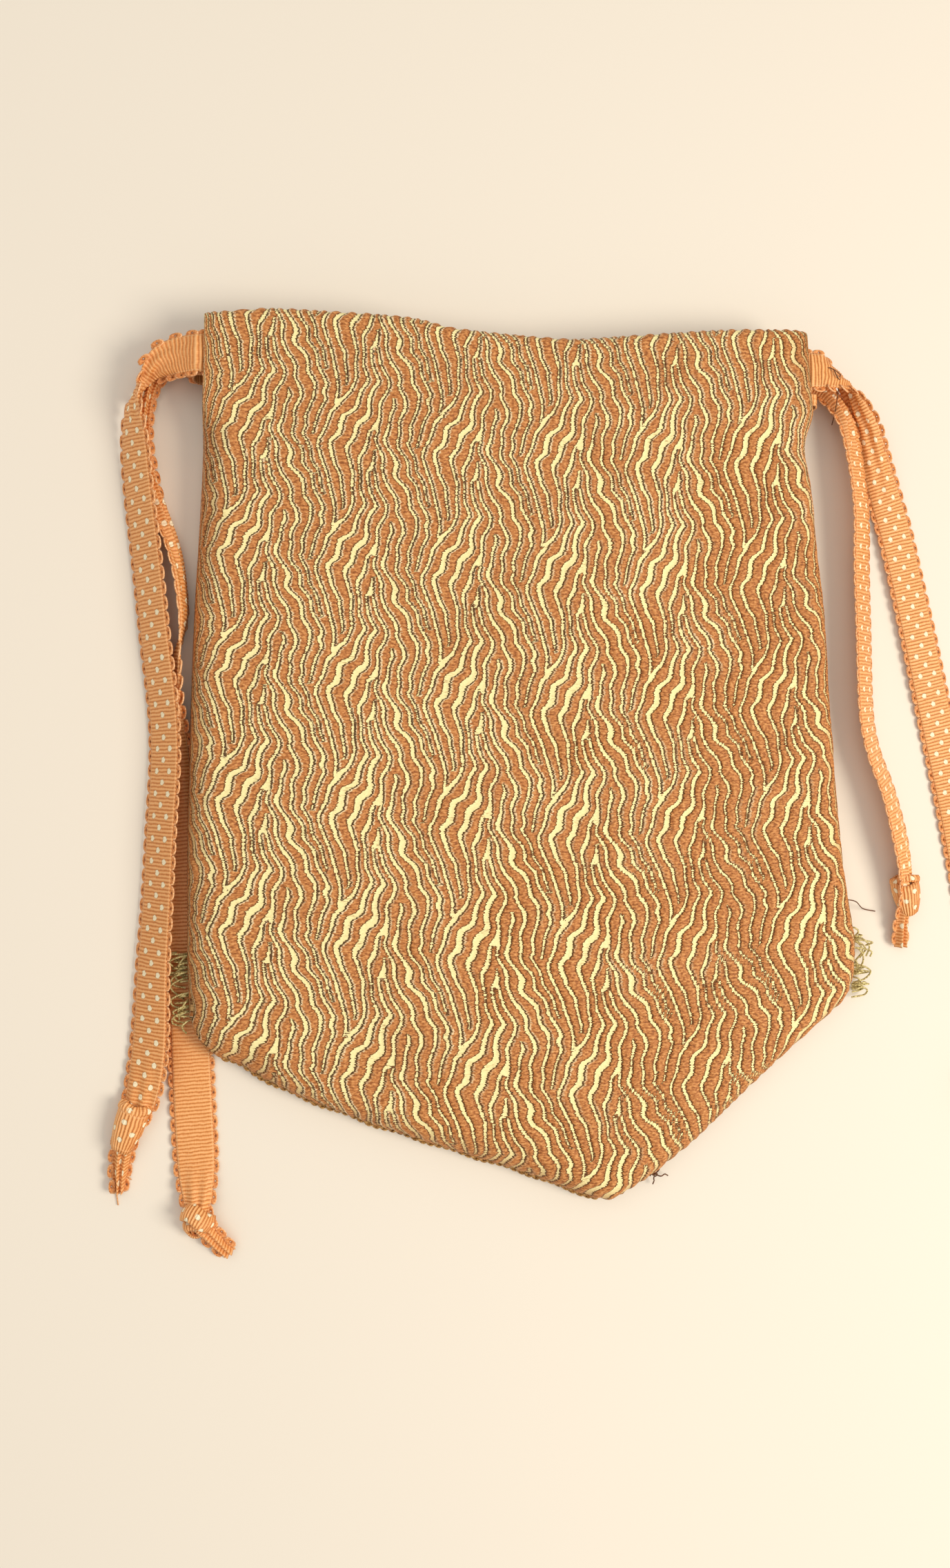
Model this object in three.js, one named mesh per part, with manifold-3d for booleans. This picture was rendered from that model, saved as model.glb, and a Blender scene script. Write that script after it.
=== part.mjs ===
// A drawstring reticule lying flat on its back: two brocade panels sewn together along the
// sides and the pointed lower edge, each turned in at the mouth to make a casing, two ribbons
// that run round both casings and come out at opposite sides, and a thread tuft at each lower
// corner. Millimetres: +X to the right, +Y towards the mouth, +Z up from the surface it lies on.
import * as THREE from "three";
import { mergeVertices } from "three/addons/utils/BufferGeometryUtils.js";
import Module from "manifold-3d";

const wasm = await Module();
wasm.setup();

// Bag
const cornerWidth = 192; // between the two lower corners, the widest place
const bagHeight = 247.3; // from the point to the highest place of the mouth
const pointDepth = 50; // from the left lower corner down to the point
const pointPlace = 0.603; // where the point lies, as a share of the width from the left
const clothWall = 1; // thickness of the brocade
const casingDepth = 23; // height of the turned-in casing below the mouth's edge
const casingSeam = 1; // row of stitching that closes the casing
const mouthGap = 4.8; // opening between the two casings
const seamHeight = 3.2; // the sewn edges lie this high above the surface
const edgeRound = 8; // how far in from the seam the panels curve over
const seamEnd = 11; // the side seams part over this length below the casing
const clearance = 0.3; // gap between pieces that touch

// Ribbons
const ribbonWidth = 12.7; // half-inch ribbon with its looped edges
const ribbonWall = 1; // thickness of the ribbon
const ribbonDrop = 10.6; // from the mouth's edge down to the ribbon's centre line
const gatheredWidth = 4; // the left ribbon where it turns round inside the right one's ends
const turnStart = 0.8; // a ribbon runs straight past the end of the casings before it turns
const turnReach = 2.4; // how far the turn stands out from there
const leftFrontTail = 204; // from the slot down to the middle of the knot, for each tail
const leftBackTail = 229;
const rightFrontTail = 214;
const rightBackTail = 152;
const knotLength = 13;
const knotWidth = 9;
const knotHeight = 6.4;

// Tufts
const tuftReach = 6.5; // how far the thread ends stand out from the seam
const leftTuftTop = 16; // where each tuft starts, above its corner
const rightTuftTop = 12;
const threadWidth = 1.5;

const tunnel = 2 * ribbonWall + 3 * clearance;
const casingWall = 2 * clothWall + tunnel;
const frontTop = 2 * casingWall + mouthGap;
const foldRound = casingWall / 2;

// Half widths of the bag, as shares of half of cornerWidth, against the height above the
// point as a share of bagHeight.
const sideRows = [
  { up: 0, left: 0.985, right: 0.996 },
  { up: 0.24, left: 0.995, right: 0.996 },
  { up: 0.29, left: 1, right: 0.996 },
  { up: 0.325, left: 1, right: 0.979 },
  { up: 0.37, left: 1, right: 0.96 },
  { up: 0.43, left: 0.999, right: 0.94 },
  { up: 0.59, left: 0.988, right: 0.905 },
  { up: 0.69, left: 0.977, right: 0.887 },
  { up: 0.76, left: 0.967, right: 0.861 },
  { up: 0.81, left: 0.96, right: 0.848 },
  { up: 0.865, left: 0.955, right: 0.818 },
  { up: 0.91, left: 0.951, right: 0.808 },
  { up: 0.94, left: 0.949, right: 0.8 },
  { up: 1, left: 0.948, right: 0.79 },
];

// Sag of the mouth's edge below its highest place, as a share of bagHeight.
const mouthRows = [
  { across: 0, sag: 0.027 },
  { across: 0.1, sag: 0.0168 },
  { across: 0.27, sag: 0.0158 },
  { across: 0.336, sag: 0.0174 },
  { across: 0.383, sag: 0.025 },
  { across: 0.48, sag: 0.0275 },
  { across: 0.593, sag: 0.0283 },
  { across: 0.727, sag: 0.017 },
  { across: 0.874, sag: 0.0049 },
  { across: 0.98, sag: 0 },
  { across: 1, sag: 0.0016 },
];

// Height of the lower edge above the point, as a share of pointDepth. leg is the share of the
// way from a corner to the point.
const leftLegRows = [
  { leg: 0, rise: 1.13 },
  { leg: 0.014, rise: 1.02 },
  { leg: 0.045, rise: 0.93 },
  { leg: 0.115, rise: 0.852 },
  { leg: 0.186, rise: 0.745 },
  { leg: 0.262, rise: 0.654 },
  { leg: 0.431, rise: 0.488 },
  { leg: 0.61, rise: 0.335 },
  { leg: 0.79, rise: 0.186 },
  { leg: 0.875, rise: 0.102 },
  { leg: 0.965, rise: 0.018 },
  { leg: 1, rise: 0 },
];
const rightLegRows = [
  { leg: 0, rise: 1.24 },
  { leg: 0.02, rise: 1.15 },
  { leg: 0.06, rise: 1.075 },
  { leg: 0.3, rise: 0.78 },
  { leg: 0.48, rise: 0.548 },
  { leg: 0.67, rise: 0.3 },
  { leg: 0.84, rise: 0.117 },
  { leg: 0.96, rise: 0.018 },
  { leg: 1, rise: 0 },
];

// Height of the front panel above the surface, as a share of its height at the casing, against
// the way up from the lower edge to the casing.
const swellRows = [
  { up: 0, front: 0.66 },
  { up: 0.15, front: 0.72 },
  { up: 0.4, front: 0.77 },
  { up: 0.7, front: 0.8 },
  { up: 0.88, front: 0.9 },
  { up: 1, front: 1 },
];

// Shallow dents and swells in the front panel: place and spread as shares of the panel, depth
// as a share of frontTop.
const dents = [
  { across: 0.3, up: 0.74, wide: 0.1, tall: 0.14, deep: 0.06 },
  { across: 0.52, up: 0.56, wide: 0.13, tall: 0.09, deep: 0.07 },
  { across: 0.8, up: 0.34, wide: 0.12, tall: 0.16, deep: 0.07 },
  { across: 0.2, up: 0.4, wide: 0.1, tall: 0.13, deep: -0.05 },
  { across: 0.62, up: 0.8, wide: 0.12, tall: 0.08, deep: -0.04 },
  { across: 0.45, up: 0.22, wide: 0.16, tall: 0.08, deep: -0.05 },
];

// Tails of the ribbons, from the slot outwards. down is a share of the tail's length. out is
// the distance from the side of the bag, lift the height above lying on the surface, both in
// ribbon widths. turn is the way it runs in plan, 0 straight out and 90 towards the point.
// lean turns the ribbon about its own run, and wide is a share of ribbonWidth.
const leftFrontRows = [
  { down: 0, out: 0.4, lift: 0.82, turn: 0, lean: 180, wide: 0.95 },
  { down: 0.004, out: 0.76, lift: 0.58, turn: 6, lean: 168, wide: 0.84 },
  { down: 0.013, out: 1.04, lift: 0.36, turn: 22, lean: 146, wide: 0.62 },
  { down: 0.025, out: 1.22, lift: 0.23, turn: 50, lean: 112, wide: 0.5 },
  { down: 0.042, out: 1.34, lift: 0.16, turn: 78, lean: 78, wide: 0.66 },
  { down: 0.065, out: 1.4, lift: 0.11, turn: 88, lean: 58, wide: 0.88 },
  { down: 0.1, out: 1.39, lift: 0.04, turn: 92, lean: 48, wide: 1 },
  { down: 0.155, out: 1.3, lift: 0, turn: 93, lean: 46, wide: 1 },
  { down: 0.335, out: 0.84, lift: 0, turn: 94, lean: 44, wide: 1 },
  { down: 0.49, out: 0.52, lift: 0, turn: 90, lean: 44, wide: 1 },
  { down: 0.65, out: 0.58, lift: 0, turn: 87, lean: 44, wide: 1 },
  { down: 0.78, out: 0.7, lift: 0, turn: 86, lean: 40, wide: 1 },
  { down: 0.905, out: 0.86, lift: 0, turn: 83, lean: 26, wide: 1 },
  { down: 0.965, out: 1.05, lift: 0.06, turn: 72, lean: 8, wide: 0.8 },
  { down: 1, out: 1.3, lift: 0.12, turn: 72, lean: 0, wide: 0.5 },
  { down: 1.045, out: 1.48, lift: 0.02, turn: 80, lean: 0, wide: 0.45 },
  { down: 1.085, out: 1.53, lift: 0, turn: 84, lean: 0, wide: 0.2 },
];
const leftBackRows = [
  { down: 0, out: 0.3, lift: 0.08, turn: 2, lean: 180, wide: 0.6 },
  { down: -0.004, out: 0.52, lift: 0.03, turn: 6, lean: 174, wide: 0.45 },
  { down: 0.003, out: 0.86, lift: 0, turn: 28, lean: 172, wide: 0.38 },
  { down: 0.02, out: 1.13, lift: 0, turn: 56, lean: 172, wide: 0.36 },
  { down: 0.05, out: 1.27, lift: 0, turn: 80, lean: 172, wide: 0.36 },
  { down: 0.09, out: 1.29, lift: 0, turn: 94, lean: 164, wide: 0.37 },
  { down: 0.13, out: 1.14, lift: 0, turn: 102, lean: 150, wide: 0.42 },
  { down: 0.17, out: 0.9, lift: 0, turn: 105, lean: 132, wide: 0.48 },
  { down: 0.21, out: 0.62, lift: 0, turn: 104, lean: 118, wide: 0.6 },
  { down: 0.25, out: 0.4, lift: 0, turn: 99, lean: 104, wide: 0.78 },
  { down: 0.3, out: 0.25, lift: 0, turn: 92, lean: 97, wide: 0.92 },
  { down: 0.35, out: 0.29, lift: 0, turn: 87, lean: 70, wide: 0.8 },
  { down: 0.4, out: 0.41, lift: 0, turn: 88, lean: 34, wide: 0.76 },
  { down: 0.445, out: 0.37, lift: 0, turn: 92, lean: 0, wide: 0.78 },
  { down: 0.52, out: 0.22, lift: 0, turn: 96, lean: 0, wide: 0.95 },
  { down: 0.6, out: 0.04, lift: 0, turn: 92, lean: 0, wide: 1 },
  { down: 0.81, out: 0.01, lift: 0, turn: 90, lean: 0, wide: 1 },
  { down: 0.935, out: -0.06, lift: 0, turn: 91, lean: 0, wide: 1 },
  { down: 0.975, out: -0.09, lift: 0.1, turn: 96, lean: 0, wide: 0.75 },
  { down: 1, out: -0.12, lift: 0.16, turn: 105, lean: 0, wide: 0.5 },
  { down: 1.03, out: -0.5, lift: 0.06, turn: 130, lean: 0, wide: 0.42 },
  { down: 1.045, out: -0.75, lift: 0, turn: 135, lean: 0, wide: 0.36 },
];
const rightFrontRows = [
  { down: 0, out: 0.4, lift: 0.82, turn: 0, lean: 184, wide: 0.98 },
  { down: 0.004, out: 0.74, lift: 0.52, turn: 6, lean: 212, wide: 0.86 },
  { down: 0.01, out: 1.04, lift: 0.26, turn: 26, lean: 244, wide: 0.74 },
  { down: 0.025, out: 1.42, lift: 0.08, turn: 46, lean: 276, wide: 0.68 },
  { down: 0.055, out: 1.73, lift: 0.01, turn: 66, lean: 306, wide: 0.66 },
  { down: 0.09, out: 1.89, lift: 0, turn: 74, lean: 336, wide: 0.74 },
  { down: 0.13, out: 2.02, lift: 0, turn: 76, lean: 354, wide: 0.86 },
  { down: 0.18, out: 2.16, lift: 0, turn: 76, lean: 362, wide: 0.98 },
  { down: 0.24, out: 2.32, lift: 0, turn: 76, lean: 366, wide: 1 },
  { down: 0.32, out: 2.48, lift: 0, turn: 76, lean: 364, wide: 1 },
  { down: 0.41, out: 2.73, lift: 0, turn: 76, lean: 362, wide: 1 },
  { down: 0.51, out: 3, lift: 0, turn: 76, lean: 360, wide: 1 },
  { down: 0.65, out: 3.28, lift: 0, turn: 78, lean: 360, wide: 1 },
  { down: 0.8, out: 3.42, lift: 0, turn: 82, lean: 360, wide: 1 },
  { down: 0.93, out: 3.5, lift: 0, turn: 86, lean: 360, wide: 1 },
  { down: 0.97, out: 3.52, lift: 0.1, turn: 88, lean: 360, wide: 0.75 },
  { down: 1, out: 3.53, lift: 0.16, turn: 84, lean: 360, wide: 0.5 },
  { down: 1.04, out: 3.65, lift: 0.04, turn: 70, lean: 360, wide: 0.42 },
  { down: 1.06, out: 3.75, lift: 0, turn: 70, lean: 360, wide: 0.36 },
];
const rightBackRows = [
  { down: 0, out: 0.3, lift: 0.05, turn: 0, lean: 180, wide: 0.75 },
  { down: 0.003, out: 0.52, lift: 0, turn: 14, lean: 188, wide: 0.55 },
  { down: 0.015, out: 0.76, lift: 0.03, turn: 38, lean: 196, wide: 0.5 },
  { down: 0.042, out: 1, lift: 0.1, turn: 62, lean: 206, wide: 0.52 },
  { down: 0.08, out: 1.17, lift: 0.15, turn: 78, lean: 214, wide: 0.7 },
  { down: 0.16, out: 1.26, lift: 0.14, turn: 88, lean: 219, wide: 0.92 },
  { down: 0.25, out: 1.2, lift: 0.1, turn: 92, lean: 221, wide: 0.98 },
  { down: 0.35, out: 1.12, lift: 0.02, turn: 92, lean: 221, wide: 1 },
  { down: 0.44, out: 1.02, lift: 0, turn: 91, lean: 222, wide: 1 },
  { down: 0.65, out: 0.92, lift: 0, turn: 88, lean: 223, wide: 1 },
  { down: 0.72, out: 1.04, lift: 0, turn: 74, lean: 224, wide: 1 },
  { down: 0.79, out: 1.3, lift: 0, turn: 70, lean: 224, wide: 1 },
  { down: 0.86, out: 1.46, lift: 0, turn: 78, lean: 222, wide: 1 },
  { down: 0.94, out: 1.54, lift: 0.02, turn: 84, lean: 218, wide: 0.8 },
  { down: 1, out: 1.46, lift: 0.08, turn: 90, lean: 212, wide: 0.5 },
  { down: 1.05, out: 1.34, lift: 0.04, turn: 90, lean: 195, wide: 0.42 },
  { down: 1.1, out: 1.3, lift: 0, turn: 86, lean: 188, wide: 0.36 },
];

// Thread ends of the tufts: where they leave the seam, below the corner tuft's top, and how
// far each reaches out and down, all as shares of tuftReach. lift is in thread widths.
const leftThreads = [
  { from: 0, out: 0.55, drop: -0.25, lift: 1.2 },
  { from: 0.3, out: 0.85, drop: 0.25, lift: 0.6 },
  { from: 0.62, out: 0.7, drop: 0.5, lift: 1 },
  { from: 1.5, out: 0.65, drop: -0.3, lift: 0.5 },
  { from: 1.85, out: 0.8, drop: 0.2, lift: 1.1 },
  { from: 2.2, out: 0.75, drop: 0.55, lift: 0.5 },
];
const rightThreads = [
  { from: 0, out: 0.6, drop: -0.1, lift: 0.9 },
  { from: 0.35, out: 0.95, drop: 0.35, lift: 0.4 },
  { from: 0.75, out: 1, drop: 0.6, lift: 1 },
  { from: 1.15, out: 0.9, drop: 0.9, lift: 0.3 },
  { from: 1.5, out: 0.7, drop: 1.1, lift: 0.8 },
  { from: 1.8, out: 0.45, drop: 1.2, lift: 0.3 },
];

const radians = THREE.MathUtils.degToRad;
const rising = (value, low, high) => THREE.MathUtils.smoothstep(value, low, high);
const falling = (value, low, high) => 1 - rising(value, low, high);

// One column of a table, read along straight lines between its rows.
function read(table, key, at, column) {
  const last = table.length - 1;
  if (at <= table[0][key]) return table[0][column];
  if (at >= table[last][key]) return table[last][column];
  const next = table.findIndex((row) => row[key] > at);
  const [a, b] = [table[next - 1], table[next]];
  return THREE.MathUtils.mapLinear(at, a[key], b[key], a[column], b[column]);
}

// Plan of the bag
const pointY = -bagHeight / 2;

function sideX(side, y) {
  const half = read(sideRows, "up", (y - pointY) / bagHeight, side < 0 ? "left" : "right");
  return (side * half * cornerWidth) / 2;
}

const mouthY = (across) => -pointY - read(mouthRows, "across", across, "sag") * bagHeight;

function lowerY(across) {
  const leftOfPoint = across < pointPlace;
  const leg = leftOfPoint ? across / pointPlace : (1 - across) / (1 - pointPlace);
  return pointY + read(leftOfPoint ? leftLegRows : rightLegRows, "leg", leg, "rise") * pointDepth;
}

const widthAt = (y) => sideX(1, y) - sideX(-1, y);

// A place in plan: up runs from 0 at the lower edge to 1 at the casing's seam, and on to 2 at
// the mouth's edge.
function planAt(across, up) {
  const seamY = mouthY(across) - casingDepth;
  const bodyY = THREE.MathUtils.lerp(lowerY(across), seamY, Math.min(up, 1));
  const y = bodyY + Math.max(up - 1, 0) * casingDepth;
  return new THREE.Vector2(sideX(-1, y) + across * widthAt(y), y);
}

// How much of its full height a panel has at a distance in from its seam.
const curveOver = (inset, reach) => Math.sqrt(1 - (1 - Math.min(inset / reach, 1)) ** 2);

function seamsAt(across, up) {
  const plan = planAt(across, up);
  const below = plan.y - lowerY(across);
  const step = 0.01;
  const run = step * widthAt(plan.y);
  const slope = (lowerY(across + step / 2) - lowerY(across - step / 2)) / run;
  const side = Math.min(across, 1 - across) * widthAt(plan.y);
  const corner = Math.exp(-((across / 0.1) ** 2) - (up / 0.12) ** 2);
  const open = falling(mouthY(across) - casingDepth - plan.y, 0, seamEnd);
  return { plan, slope, side, open, lower: below / Math.hypot(1, slope), soft: 1 + 0.7 * corner };
}

function roundness(seams) {
  const reach = edgeRound * seams.soft;
  const sides = THREE.MathUtils.lerp(curveOver(seams.side, reach), 1, seams.open);
  return sides * curveOver(seams.lower, reach);
}

function frontOuter(across, up) {
  const seams = seamsAt(across, up);
  let full = read(swellRows, "up", up, "front") * frontTop;
  for (const dent of dents) {
    const far = ((across - dent.across) / dent.wide) ** 2 + ((up - dent.up) / dent.tall) ** 2;
    full -= dent.deep * frontTop * Math.exp(-far);
  }
  const base = seamAt(across, up) + clearance / 2;
  const fold = foldAt(across, up);
  const z = base + (Math.max(full, base) - base) * roundness(seams) - fold;
  return new THREE.Vector3(seams.plan.x, seams.plan.y, z);
}

// The left ribbon's back tail lies under the edge of the bag, which is lifted over it.
function ribbonLift(across, up) {
  const inset = across * cornerWidth;
  const along = falling(up, 0.66, 0.78);
  return (ribbonWall + 3 * clearance) * along * falling(inset, edgeRound, 1.5 * edgeRound);
}

const seamAt = (across, up) => seamHeight + ribbonLift(across, up);

function backOuter(across, up) {
  const seams = seamsAt(across, up);
  const shelf = ribbonLift(across, up);
  const rise = seamHeight - clearance / 2;
  const z = shelf + rise * (1 - roundness(seams)) + foldAt(across, up);
  return new THREE.Vector3(seams.plan.x, seams.plan.y, z);
}

// How far the turned-in edge at the mouth rounds off.
function foldAt(across, up) {
  const below = (2 - up) * casingDepth;
  return up < 1 ? 0 : foldRound * 0.7 * (1 - curveOver(below, foldRound));
}

// The direction in which a panel's wall has its thickness: level at a sewn edge, so that the
// two walls meet face to face, and square to the cloth elsewhere.
function outward(outer, across, up, facing) {
  const seams = seamsAt(across, up);
  const level = new THREE.Vector3();
  if (across === 0) level.x -= 1 - seams.open;
  if (across === 1) level.x += 1 - seams.open;
  if (up === 0) level.add(new THREE.Vector3(seams.slope, -1, 0).normalize());
  if (level.length() > 0) {
    const upright = new THREE.Vector3(0, 0, facing * seams.open);
    return level.add(upright).normalize();
  }
  const step = 0.0005;
  const along = outer(Math.min(across + step, 1), up).sub(outer(Math.max(across - step, 0), up));
  const rise = outer(across, up + step).sub(outer(across, Math.max(up - step, 0)));
  return along.cross(rise).normalize().multiplyScalar(facing);
}

// Stations across and up a panel, close together where it curves over at its seams.
const bends = [0, 0.076, 0.293, 0.617, 1];
const sideShares = bends.map((bend) => (bend * edgeRound * 1.05) / cornerWidth);
const lowerShares = bends.map((bend) => (bend * edgeRound * 1.1) / (bagHeight - casingDepth));
const evenly = (low, high, count) =>
  Array.from({ length: count }, (_, i) => low + ((i + 1) * (high - low)) / (count + 1));

const acrossStations = [
  ...sideShares,
  ...evenly(sideShares.at(-1), pointPlace, 10),
  pointPlace,
  ...evenly(pointPlace, 1 - sideShares.at(-1), 6),
  ...sideShares.map((share) => 1 - share).reverse(),
];
const seamEndShare = 1 - seamEnd / (bagHeight - casingDepth);
const bodyStations = [
  ...lowerShares,
  ...evenly(lowerShares.at(-1), seamEndShare, 13),
  seamEndShare,
  ...evenly(seamEndShare, 1, 3),
  1,
];
const foldBends = [1, 0.65, 0.3, 0.08, 0];
const casingStations = [1, ...foldBends.map((bend) => 2 - (bend * foldRound) / casingDepth)];

// A closed solid from its points and its triangles.
function solid(points, triangles) {
  const vertProperties = Float32Array.from(points.flatMap((p) => [p.x, p.y, p.z]));
  const mesh = new wasm.Mesh({ numProp: 3, vertProperties, triVerts: Uint32Array.from(triangles) });
  mesh.merge();
  return new wasm.Manifold(mesh);
}

function solidOf(geometry) {
  const bare = geometry.clone();
  bare.deleteAttribute("normal");
  bare.deleteAttribute("uv");
  const merged = mergeVertices(bare, 1e-4);
  const vertProperties = merged.attributes.position.array;
  const triVerts = new Uint32Array(merged.index.array);
  return new wasm.Manifold(new wasm.Mesh({ numProp: 3, vertProperties, triVerts }));
}

// A wall between two sheets of points on the same stations. top lies above bottom.
function wall(across, up, top, bottom) {
  const points = [];
  for (const sheet of [top, bottom]) {
    for (const v of up) {
      for (const u of across) points.push(sheet(u, v));
    }
  }
  const [columns, rows] = [across.length, up.length];
  const at = (sheet, row, column) => (sheet * rows + row) * columns + column;
  const triangles = [];
  const quad = (a, b, c, d) => triangles.push(a, b, c, a, c, d);
  for (let r = 0; r + 1 < rows; r++) {
    for (let c = 0; c + 1 < columns; c++) {
      quad(at(0, r, c), at(0, r, c + 1), at(0, r + 1, c + 1), at(0, r + 1, c));
      quad(at(1, r, c), at(1, r + 1, c), at(1, r + 1, c + 1), at(1, r, c + 1));
    }
    quad(at(0, r, 0), at(0, r + 1, 0), at(1, r + 1, 0), at(1, r, 0));
    const end = columns - 1;
    quad(at(0, r + 1, end), at(0, r, end), at(1, r, end), at(1, r + 1, end));
  }
  for (let c = 0; c + 1 < columns; c++) {
    quad(at(0, 0, c + 1), at(0, 0, c), at(1, 0, c), at(1, 0, c + 1));
    quad(at(0, rows - 1, c), at(0, rows - 1, c + 1), at(1, rows - 1, c + 1), at(1, rows - 1, c));
  }
  return solid(points, triangles);
}

// A strip along stations, each with its place, the direction of its width and its width.
function strip(stations, thickness) {
  const points = [];
  const triangles = [];
  const quad = (a, b, c, d) => triangles.push(a, b, c, a, c, d);
  stations.forEach((station, i) => {
    const before = stations[Math.max(i - 1, 0)].place;
    const after = stations[Math.min(i + 1, stations.length - 1)].place;
    const run = after.clone().sub(before).normalize();
    const side = station.side.clone().addScaledVector(run, -station.side.dot(run)).normalize();
    const face = run.clone().cross(side);
    for (const [w, n] of [[1, 1], [-1, 1], [-1, -1], [1, -1]]) {
      const corner = station.place.clone();
      corner.addScaledVector(side, (w * station.width) / 2);
      corner.addScaledVector(face, (n * thickness) / 2);
      corner.z = Math.max(corner.z, 0); // it lies on the surface, never in it
      points.push(corner);
    }
    if (i === 0) return;
    for (let c = 0; c < 4; c++) {
      const [a, b] = [4 * (i - 1) + c, 4 * (i - 1) + ((c + 1) % 4)];
      quad(a, b, b + 4, a + 4);
    }
  });
  const last = points.length - 4;
  quad(3, 2, 1, 0);
  quad(last, last + 1, last + 2, last + 3);
  return solid(points, triangles);
}

// A panel: the body's single wall, and the casing with its tunnel cut through from side to side.
function panel(outer, facing) {
  const inner = (across, up) => {
    const place = outer(across, up).addScaledVector(outward(outer, across, up, facing), -clothWall);
    const edge = seamAt(across, up) + (facing * clearance) / 2;
    place.z = facing > 0 ? Math.max(place.z, edge) : Math.min(place.z, edge);
    return place;
  };
  const flap = (across, up) => {
    const place = outer(across, up);
    place.z += facing * (2 * foldAt(across, up) - casingWall);
    return place;
  };
  const body = facing > 0
    ? wall(acrossStations, bodyStations, outer, inner)
    : wall(acrossStations, bodyStations, inner, outer);
  const casing = facing > 0
    ? wall(acrossStations, casingStations, outer, flap)
    : wall(acrossStations, casingStations, flap, outer);
  return body.add(casing).subtract(tunnelSolid(facing));
}

const casingZ = (facing, layer) => {
  const depth = clothWall + clearance + ribbonWall / 2 + layer * (ribbonWall + clearance);
  return facing > 0 ? frontTop - depth : depth;
};

function tunnelSolid(facing) {
  const [top, bottom] = [foldRound, casingDepth - casingSeam];
  const stations = [-0.03, ...evenly(0, 1, 22), 1.03].map((across) => {
    const [x, y] = casingPlace(across, (top + bottom) / 2);
    const z = (casingZ(facing, 0) + casingZ(facing, 1)) / 2;
    return { place: new THREE.Vector3(x, y, z), side: new THREE.Vector3(0, 1, 0), width: bottom - top };
  });
  return strip(stations, tunnel);
}

const slotY = (side) => casingPlace(side < 0 ? 0 : 1, ribbonDrop)[1];

function casingPlace(across, below) {
  const y = mouthY(across) - below;
  return [sideX(-1, y) + across * widthAt(y), y];
}

// A ribbon inside the casings: across the front, round the far end and back. layer is 0 next to
// the outer cloth and 1 next to the flap. shift lowers the gathered turn below the other
// ribbon's ends.
function hiddenRun({ side, layer, turnWidth, shift }) {
  const stations = [];
  const upright = new THREE.Vector3(0, 1, 0);
  const add = (share, facing) => {
    const across = side < 0 ? share : 1 - share;
    const near = rising(share, 0.72, 0.97);
    const [x, y] = casingPlace(across, ribbonDrop + shift * near);
    const width = THREE.MathUtils.lerp(ribbonWidth, turnWidth, near);
    stations.push({ place: new THREE.Vector3(x, y, casingZ(facing, layer)), side: upright, width });
  };
  const shares = [0, ...evenly(0, 0.7, 7), 0.7, 0.76, 0.82, 0.88, 0.94, 1];
  shares.forEach((share) => add(share, 1));
  const far = side < 0 ? 1 : 0;
  const [x, y] = casingPlace(far, ribbonDrop + shift);
  const [high, low] = [casingZ(1, layer), casingZ(-1, layer)];
  const round = Math.min(turnReach, (high - low) / 2);
  const turnAt = (turn, z, way) => {
    const reach = turnStart + round * Math.sin(radians(turn));
    const place = new THREE.Vector3(x - side * reach, y, z + way * round * (1 - Math.cos(radians(turn))));
    stations.push({ place, side: upright, width: turnWidth });
  };
  [0, 30, 60, 90].forEach((turn) => turnAt(turn, high, -1));
  [90, 60, 30, 0].forEach((turn) => turnAt(turn, low, 1));
  shares.reverse().forEach((share) => add(share, -1));
  return stations;
}

// The stations of a tail, outwards from its slot, on a smooth line through its rows. A ribbon
// that leans stands on its lower edge, and lift raises it from there.
function tail(rows, side, length, facing, layer) {
  const slot = slotY(side);
  const inCasing = (casingZ(facing, layer) - ribbonWall / 2) / ribbonWidth;
  const all = [{ ...rows[0], out: 0.15, lift: inCasing }, ...rows];
  const line = new THREE.CatmullRomCurve3(
    all.map((row) => {
      const y = slot - row.down * length;
      const x = sideX(side, y) + side * row.out * ribbonWidth;
      return new THREE.Vector3(x, y, row.lift * ribbonWidth);
    }),
    false,
    "centripetal",
  );
  const stations = [];
  const steps = 2 * (all.length - 1);
  for (let step = 0; step <= steps; step++) {
    const index = step / 2;
    const low = Math.min(Math.floor(index), all.length - 2);
    const mix = (column) => THREE.MathUtils.lerp(all[low][column], all[low + 1][column], index - low);
    const [turn, lean] = [radians(mix("turn")), radians(mix("lean"))];
    const width = mix("wide") * ribbonWidth;
    const direction = new THREE.Vector3(-side * Math.sin(turn), -Math.cos(turn), 0);
    direction.multiplyScalar(Math.cos(lean));
    direction.z = Math.sin(lean);
    const place = line.getPoint(step / steps);
    const rest = (Math.abs(direction.z) * width + Math.abs(Math.cos(lean)) * ribbonWall) / 2;
    place.z = Math.max(place.z, 0) + rest;
    stations.push({ place, side: direction, width });
  }
  return stations;
}

// An overhand knot: a crowned lump with one band of ribbon across it.
function knot(rows, side, length) {
  const row = rows.find((each) => each.down === 1);
  const y = slotY(side) - length;
  const x = sideX(side, y) + side * row.out * ribbonWidth;
  const core = new THREE.SphereGeometry(0.5, 12, 8).scale(knotWidth, knotLength, knotHeight);
  const band = new THREE.TorusGeometry(0.36, 0.14, 6, 14).rotateX(Math.PI / 2);
  band.scale(knotWidth, knotLength * 0.9, knotHeight).rotateZ(side * 0.5);
  const place = (shape) => {
    shape.rotateZ(-side * radians(90 - row.turn)).translate(x, y, knotHeight / 2);
    return solidOf(shape);
  };
  return place(core).add(place(band));
}

function ribbon(run, front, back) {
  const { side, layer } = run;
  const stations = [
    ...tail(front.rows, side, front.length, 1, layer).reverse(),
    ...hiddenRun(run),
    ...tail(back.rows, side, back.length, -1, layer),
  ];
  let whole = strip(stations, ribbonWall);
  for (const end of [front, back]) whole = whole.add(knot(end.rows, side, end.length));
  return whole;
}

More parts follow.
